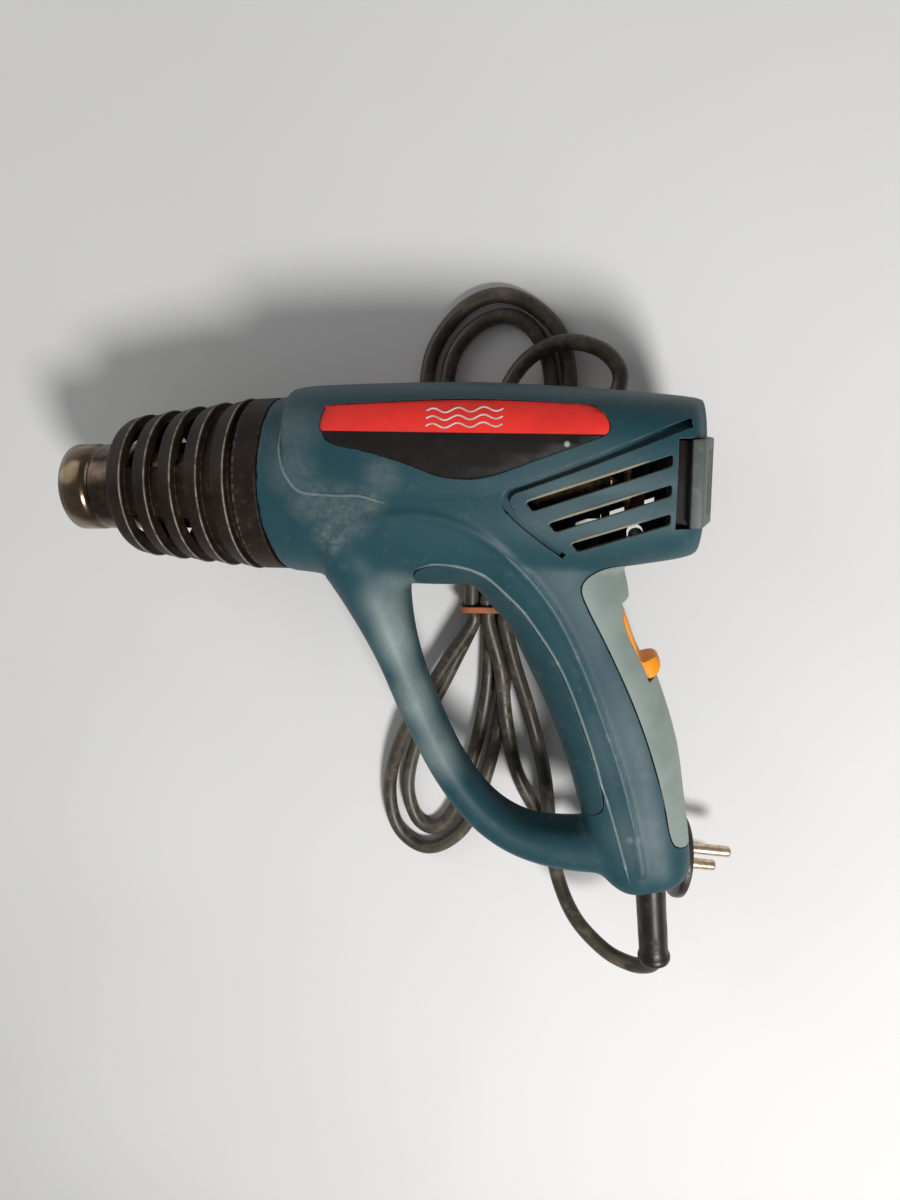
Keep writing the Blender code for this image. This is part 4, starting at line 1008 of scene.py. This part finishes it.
def make_rear_grille(finish):
    half, flat, thick = 31.0, 14.0, 3.0
    low, high = -14.2, 15.1
    back = -REAR_SET_BACK
    lip_front, flange_front, flange, flange_wall = -8.8, -16.5, 26.4, 1.3
    upper = [
        (0, flat), (back, half), (lip_front, half), (lip_front, flange), (flange_front, flange),
        (flange_front, flange - flange_wall), (back - thick, flange - flange_wall), (-thick, flat),
    ]
    outline = upper + [(x, -z) for x, z in reversed(upper)]
    made = from_rings("Rear_stand_grille", [[(x, y, z) for x, z in outline] for y in (low, high)])
    slots = []
    for side in (-1, 1):
        for i in range(2):
            z = side * (16.8 + 5.4 * i)
            slots.append(block("slot", (-9, low + 4, z - 1.4), (2, high - 4, z + 1.4)))
    carve(made, slots)
    paint(made, finish["rear"])
    bevel(made, 0.5, 2, 30)
    # Painted shade: the flange faces in front of the lip, deep in the recess between housing and lip, get
    # black plastic to stand for the shade there.
    made.data.materials.append(finish["black"])
    for face in made.data.polygons:
        if face.center.x < (lip_front - 0.1) * MM:
            face.material_index = 1
    finish_piece(made, "gun", "grey_green_plastic", "rear_grille")


# Heat guard and nozzle

def guard_radius(x):
    """Outer radius of the guard's fins, growing towards the housing."""
    t = (x - GUARD_FRONT) / (HOUSING_FRONT - GUARD_FRONT)
    return 27.6 + 6.0 * min(1.0, 1.25 * max(t, 0.0)) ** 0.9


def make_guard(finish):
    """Lathed guard whose fins rise to a thin rim at their rear edge, with four windows per gap."""
    front_r = guard_radius(GUARD_FRONT)
    outline = [(GUARD_FRONT, GUARD_BORE), *steps_from(GUARD_FRONT, front_r, (0, -2), (0.3, -1.3))]
    rims = []
    for i in range(FIN_COUNT):
        rear = FIRST_FIN_REAR + FIN_PITCH * i
        radius = guard_radius(rear)
        front = max(rear - FIN_WIDTH, GUARD_FRONT + 1.0)
        if i:
            outline += steps_from(front, radius, (-0.35, -3.3), (0, -2.8))
        outline += steps_from(front, radius, (0.25, -1.6), (0.9, -1.25))
        outline += steps_from(rear, radius, (-1.3, -0.35), (-0.75, -0.05), (-0.35, 0), (-0.05, -0.25),
            (0, -0.8), (0, -2.6), (0.35, -3.1))
        rims.append((rear - 0.3, radius))
    band = FIRST_FIN_REAR + FIN_PITCH * FIN_COUNT - FIN_WIDTH
    band_r = guard_radius(band)
    outline += steps_from(band, band_r, (-0.3, -3), (0, -2.6), (0, -1.2), (0.5, -0.6))
    outline += steps_from(HOUSING_FRONT - 0.3, 0, (-9.2, 33.4), (-8.9, 33), (-8.5, 33.4), (-0.4, 33.5),
        (0, 33.1), (0, 30.7), (6.8, 30.7), (6.8, 28.4))
    outline += [(-172, 28.0), (GUARD_FRONT + 3, 23.6), (GUARD_FRONT + 3, GUARD_BORE)]
    made = lathe("Heat_guard_fins", outline, 144, finish["guard"])

    window_width = radians(50)
    steps = 12
    windows = []
    for i in range(3):
        x0 = FIRST_FIN_REAR + FIN_PITCH * i + 0.05
        x1 = x0 + FIN_PITCH - FIN_WIDTH - 0.1
        for quarter in range(4):
            middle = radians(45 + 90 * quarter)
            arc = [middle - window_width / 2 + window_width * k / steps for k in range(steps + 1)]
            ring_outline = [(cos(a) * r, sin(a) * r) for r, turn in ((40, 1), (21, -1))
                for a in arc[::turn]]
            windows.append(from_rings("window", [[(x, y, z) for y, z in ring_outline] for x in (x0, x1)]))
    carve(made, windows)
    paint(made, finish["guard"])
    shade(made, 40)
    rim = made.data.attributes.new("rim", "FLOAT", "POINT")
    for i, v in enumerate(made.data.vertices):
        x = v.co.x / MM
        radius = hypot(v.co.y, v.co.z) / MM
        worn = 0.0
        for rim_x, rim_r in rims:
            worn = max(worn, smoothstep(0.5, 0.12, hypot(x - rim_x, (radius - rim_r) * 1.2)))
        rim.data[i].value = worn
    finish_piece(made, "gun", "black_plastic", "heat_guard")


def make_nozzle(finish):
    """Steel tube with a rolled bead behind its mouth."""
    r = NOZZLE_R
    inner = r - 1.9
    bead = MOUTH + 9.5
    rear = -157.0
    outline = steps_from(MOUTH, r, (0, -0.9), (0, -0.3), (0.3, 0))
    outline += steps_from(bead, r, (-0.6, 0), (0, -0.15), (0.5, -0.75), (1.2, -1), (2.2, -1), (2.9, -0.6),
        (3.4, -0.25), (4.4, -0.2))
    outline += [(rear - 1.2, r - 0.2), (rear - 1.2, 24.5), (rear, 24.5), (rear, inner),
        (MOUTH + 0.3, inner), (MOUTH, inner + 0.3)]
    made = lathe("Nozzle_tube_rolled", outline, 128, finish["steel"], smooth_angle=50)
    finish_piece(made, "gun", "heat_tinted_steel", "nozzle_tube")


# Switch, cord, plug

def make_slider(finish):
    """Thumb slider: a thin strip that runs into a rounded hook, with grip lines across the hook."""
    profile = [
        (-3.7, -1.3), (-4.1, -0.2), (SLIDER_TOP, 0.6), (-3.9, 1.2), (-3.2, 1.5), (3.6, 1.2), (9.0, 0.9),
        (14.1, 0.6),
        (18.6, 0.45), (19.6, 0.5), (20.1, 0.9), (20.35, 1.5), (20.4, 3.4), (20.5, 5.2), (20.9, 6.2),
        (21.7, 6.8),
        (23.2, 7.0), (24.6, 6.7), (25.8, 5.9), (26.6, 4.6), (27.1, 2.8), (SLIDER_FOOT, 0.8), (27.0, -0.6),
        (26.4, -1.3),
    ]
    outline = [on_handle(d, o).xy for d, o in profile]
    made = prism("Switch_slider_hook", outline, -SLIDER_HALF, SLIDER_HALF)
    carve(made, [slider_crown()], "INTERSECT", "EXACT")
    carve(made, [handle_block("neck", (6, 14), (-9.0, 0.0), (-1.9, 1.9))], "UNION", "EXACT")
    grooves = []
    for d, o in ((22.2, 7.3), (23.6, 7.3), (24.9, 6.85), (26.0, 6.1)):
        grooves.append(cylinder("groove", on_handle(d, o, -7.0), on_handle(d, o, 7.0), 0.55, 12))
    carve(made, grooves, solver="EXACT")
    paint(made, finish["orange"])
    bevel(made, 0.5, 3, 45)
    finish_piece(made, "switch_slide", "orange_plastic", "switch_slider")


def make_screws(finish):
    """Cross-recessed pan-head screws in the right half's deep holes."""
    for place, (x, y, seat, tip) in HOUSING_SCREWS.items():
        top = seat - SCREW_HEAD_H - 0.1
        outline = [(0.0, 2.2), (0.25, 2.75), (0.8, SCREW_HEAD_R), (SCREW_HEAD_H, SCREW_HEAD_R),
            (SCREW_HEAD_H, SCREW_R), (tip - top, SCREW_R), (tip - top, 0.05), (0.0, 0.05)]
        made = lathe(f"Housing_screw_{place}", outline, 32)
        made.data.transform(Matrix.Translation(Vector((x, y, top)) * MM) @ Matrix.Rotation(radians(-90), 4,
            "Y"))
        arms = [block("arm", (x - 1.7, y - 0.35, top - 1), (x + 1.7, y + 0.35, top + 1.1)),
            block("arm", (x - 0.35, y - 1.7, top - 1), (x + 0.35, y + 1.7, top + 1.1))]
        carve(made, arms, solver="EXACT")
        paint(made, finish["bright"])
        shade(made, 40)
        finish_piece(made, "gun", "bright_steel", f"screw_{place}")


def along_relief(distance):
    axis = (RELIEF_END - RELIEF_TOP).normalized()
    return RELIEF_TOP + axis * distance


def make_strain_relief(finish):
    length = (RELIEF_END - RELIEF_TOP).length
    bore = CORD_R + 0.15
    outline = [(3, 6.2), (3, 8.6), (7, 8.6), (7, 6.25)]
    for i in range(9):
        t = i / 8
        outline.append((10 + (length - 17) * t, 6.25 - 0.25 * t + 0.05 * sin(t * 9)))
    outline += [(length - 4.2, 6.05), (length - 3.4, 6.5), (length - 2.6, 6.75), (length - 1.0, 6.7),
        (length - 0.3, 6.35), (length, 5.7), (length, bore + 0.4), (length - 0.4, bore), (3, bore)]
    made = lathe("Strain_relief_sleeve", outline, 64, finish["relief"])
    axis = (RELIEF_END - RELIEF_TOP).normalized()
    turn = Vector((1, 0, 0)).rotation_difference(axis).to_matrix().to_4x4()
    made.data.transform(Matrix.Translation(RELIEF_TOP * MM) @ turn)
    finish_piece(made, "gun", "black_cord", "strain_relief")


def through_tie(column, row, rising):
    """A strand's way through the tie: column -1, 0 or 1 from left to right, row 0 or 1 from below."""
    x = TIE.x + STRAND_PITCH * column
    z = TIE_LOW + STRAND_PITCH * row
    return [(x, TIE.y - 7 * rising, z), (x, TIE.y, z), (x, TIE.y + 7 * rising, z)]


def plug_point(distance):
    return PLUG_RIM + PLUG_TURN @ Vector((distance, 0, 0))


def level(z, places):
    """XY places at one height."""
    return [(x, y, z) for x, y in places]


def cord_path():
    """The cord from inside the handle, round its three top loops and two bottom loops, to the plug."""
    from_handle = [along_relief(d) for d in (-6, 10, 30, 48, 53)]
    to_tie = [(-16.2, -206.6, -1.8), (-23, -209.2, -6), (-33.5, -207.8, -12), (-46, -198.5, -19),
        (-54, -184, -26), (-58, -166, -32), (-61, -140, HIGH), (-67, -112, HIGH), (-75, -84, HIGH)]
    small_top = level(HIGH, [(-70, -26), (-50, 10), (-31, 34), (-36, 48), (-54, 53), (-71, 44), (-82, 22),
        (-91, -18)])
    outer_bottom = [(-105, -84, HIGH), (-127, -120, HIGH - 2), (-137, -150, LOW + 1)]
    outer_bottom += level(LOW, [(-134, -174), (-119, -184), (-101, -172), (-89, -142), (-81, -104)])
    outer_top = level(LOW, [(-66, -26), (-54, 10), (-51, 38), (-57, 60), (-76, 73), (-95, 69), (-110, 50),
        (-112, 22), (-102, -18)])
    inner_bottom = level(LOW, [(-105, -90), (-120, -120), (-128, -148), (-125, -167), (-116, -173),
        (-106, -163), (-97, -138), (-89, -104)])
    inner_top = level(LOW, [(-91, -26), (-103, 18), (-102, 46), (-91, 61), (-76, 65), (-64, 56),
        (-58.6, 38)])
    inner_top += [(-61, 12, LOW + 1), (-75, -24, HIGH - 2)]
    to_plug = [(-81, -88, HIGH), (-79, -112, HIGH - 1), (-75, -138, LOW + 3), (-67, -156, LOW + 3),
        (-57, -165, LOW + 9), plug_point(-47), plug_point(-40), plug_point(-32)]
    return (from_handle + to_tie + through_tie(1, 1, 1) + small_top + through_tie(-1, 1, -1) + outer_bottom
        + through_tie(1, 0, 1) + outer_top + through_tie(-1, 0, -1) + inner_bottom + through_tie(0, 0, 1)
        + inner_top + through_tie(0, 1, -1) + to_plug)


def make_cord(finish):
    def thickness(travelled):
        return CORD_R - 0.06 + 0.06 * noise.noise(Vector((travelled * 0.08, 0, 0)))
    made = sweep("Power_cord_hank", curve_points(cord_path(), 9), thickness, 24, finish["cord"])
    finish_piece(made, "gun", "black_cord", "power_cord")


def make_cord_tie(finish):
    """Flat rubber band round the six strands, a little twisted and wavy."""
    middle = TIE_LOW + STRAND_PITCH / 2
    corner = CORD_R + 0.6
    rings = []
    for offset, edge in ((1.1, -1.5), (1.25, 0.0), (1.1, 1.5), (0.0, 1.5), (0.0, -1.5)):
        ring = []
        for quarter in range(4):
            cx = STRAND_PITCH * (1 if quarter in (0, 3) else -1)
            cz = STRAND_PITCH / 2 * (1 if quarter in (0, 1) else -1)
            for k in range(13):
                angle = radians(90 * quarter + 7.5 * k)
                reach = corner + offset
                wave = 0.35 * sin(2 * angle)
                ring.append((TIE.x + cx + cos(angle) * reach, TIE.y + edge * 0.85 + wave * 0.6,
                    middle + cz + sin(angle) * reach))
        rings.append(ring)
    made = from_rings("Rubber_band_tie", rings, True, finish["band"])
    finish_piece(made, "gun", "rubber_band", "cord_tie")


def place_plug_piece(made):
    made.data.transform(Matrix.Translation(PLUG_RIM * MM) @ PLUG_TURN.to_4x4())


def make_plug(finish):
    """Moulded two-pin plug: a round face rim, a waisted grip with ridges and a ribbed cord end."""
    rim = PLUG_RIM_R
    bore = CORD_R + 0.15
    outline = [(-1.0, 0.05), (-1.0, rim - 4), (0, rim - 3.4), (0, rim - 1), (-0.4, rim - 0.2), (-1.1, rim),
        (-3.0, rim), (-3.7, rim - 0.4), (-4.1, rim - 1.2), (-4.6, 14.2), (-6.0, 12.6), (-9.0, 11.6)]
    for i in range(5):
        x = -11.5 - 3.0 * i
        outline += [(x + 0.7, 11.3), (x, 10.7), (x - 0.9, 10.7), (x - 1.6, 11.3)]
    outline += [(-28, 11.0), (-31, 9.7), (-34, 8.2), (-36.2, 7.2), (-36.8, 6.6), (-37.6, 7.0), (-39.0, 6.6),
        (-39.8, 6.0), (-40, 5.4), (-40, bore), (-30.5, bore), (-30.5, 0.05)]
    body = lathe("Plug_moulding", outline, 96)
    spacing, pin_r, pin_length, depth = 19.0, 2.4, 19.0, 8.0
    tilt = radians(40)
    pins = []
    for name, side in (("a", 1), ("b", -1)):
        pins.append((name, side * spacing / 2 * cos(tilt), side * spacing / 2 * sin(tilt)))
    carve(body, [cylinder("socket", (-depth - 0.2, y, z), (2, y, z), pin_r + 0.1, 32) for _, y, z in pins])
    paint(body, finish["plug"])
    shade(body, 40)
    place_plug_piece(body)
    finish_piece(body, "gun", "black_plastic", "plug_body")
    for name, y, z in pins:
        start, end = 0.3 - depth, pin_length
        shape = [(start, 0.02), (start, pin_r)]
        for k in range(7):
            angle = radians(15 * k)
            shape.append((end - 1.1 + 1.1 * sin(angle), pin_r - 1.1 + 1.1 * cos(angle)))
        shape.append((end, 0.02))
        pin = lathe(f"Plug_pin_{name}_turned", shape, 48, finish["nickel"])
        pin.data.transform(Matrix.Translation(Vector((0, y, z)) * MM))
        place_plug_piece(pin)
        finish_piece(pin, "gun", "nickel_pin", f"plug_pin_{name}")


# CAD nodes that stay

KEPT = {
    "dull": ("motor_can", "motor_shaft", "clamp_screw_a", "clamp_screw_b", "thermal_cutout"),
    "copper": ("armature", "bush_front", "bush_rear"),
    "magnet": ("magnet_lower", "magnet_upper", "brush_lower", "brush_upper"),
    "black": ("air_duct", "motor_carrier", "motor_end_cap", "cord_clamp", "switch_body", "diode_1",
              "diode_2", "diode_3",
              "diode_4", "fan_impeller"),
    "white": ("switch_actuator", "heater_lead_a", "heater_lead_b"),
    "mica": ("mica_sleeve", "heater_former", "heater_end_disc"),
    "nichrome": ("heater_coil",),
    "board": ("rectifier_board",),
    "capacitor": ("suppressor_capacitor",),
    "blue": ("neutral_lead",),
    "brown": ("live_lead",),
}


def paint_kept_nodes(finish):
    for colour, nodes in KEPT.items():
        for node in nodes:
            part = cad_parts[node]
            for slot in part.material_slots:
                slot.link = "OBJECT"
                slot.material = finish[colour]


# Stage

def make_stage():
    """Pale floor, soft studio light from the lower right, and the camera above the gun's side."""
    bm = bmesh.new()
    bmesh.ops.create_grid(bm, x_segments=1, y_segments=1, size=1500)
    bmesh.ops.translate(bm, vec=(-120, -60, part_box("power_cord")[0][2] / MM - 0.1), verts=bm.verts)
    floor = add_object("Floor", bm, floor_finish())

    world = bpy.data.worlds.new("Studio")
    world.use_nodes = True
    world.node_tree.nodes["Background"].inputs["Color"].default_value = (0.95, 0.97, 1.0, 1.0)
    world.node_tree.nodes["Background"].inputs["Strength"].default_value = 0.225
    bpy.context.scene.world = world
    bpy.context.scene.view_settings.view_transform = "Standard"

    target = Vector((-110, -50, 0))
    for name, place, size, power in (
            ("Key", (300, -460, 760), 0.26, 8.2),
            ("Fill", (-900, 500, 420), 0.8, 2.2)):
        light = bpy.data.lights.new(name, "AREA")
        light.shape = "DISK"
        light.size = size
        light.energy = power
        lamp = into_scene(bpy.data.objects.new(name, light))
        lamp.location = Vector(place) * MM
        lamp.rotation_euler = (target - Vector(place)).to_track_quat("-Z", "Y").to_euler()

    view = bpy.data.cameras.new("Camera")
    view.sensor_fit = "VERTICAL"
    view.sensor_height = 36
    view.lens = 24
    view.clip_start = 0.01
    camera = into_scene(bpy.data.objects.new("Camera", view))
    turn = (Matrix.Rotation(radians(-0.72), 3, "Z") @ Matrix.Rotation(radians(-9.94), 3, "Y")
        @ Matrix.Rotation(radians(13.06), 3, "X"))
    camera.matrix_world = Matrix.Translation((-0.0413, 0.0243, 0.3061)) @ turn.transposed().to_4x4()
    bpy.context.scene.camera = camera


def build():
    finish = make_materials()
    surface = make_housing(finish)
    make_edge_lines(surface, finish)
    make_labels(finish)
    make_rear_grille(finish)
    make_guard(finish)
    make_nozzle(finish)
    make_slider(finish)
    make_screws(finish)
    make_strain_relief(finish)
    make_cord(finish)
    make_cord_tie(finish)
    make_plug(finish)
    paint_kept_nodes(finish)
    make_stage()


build()
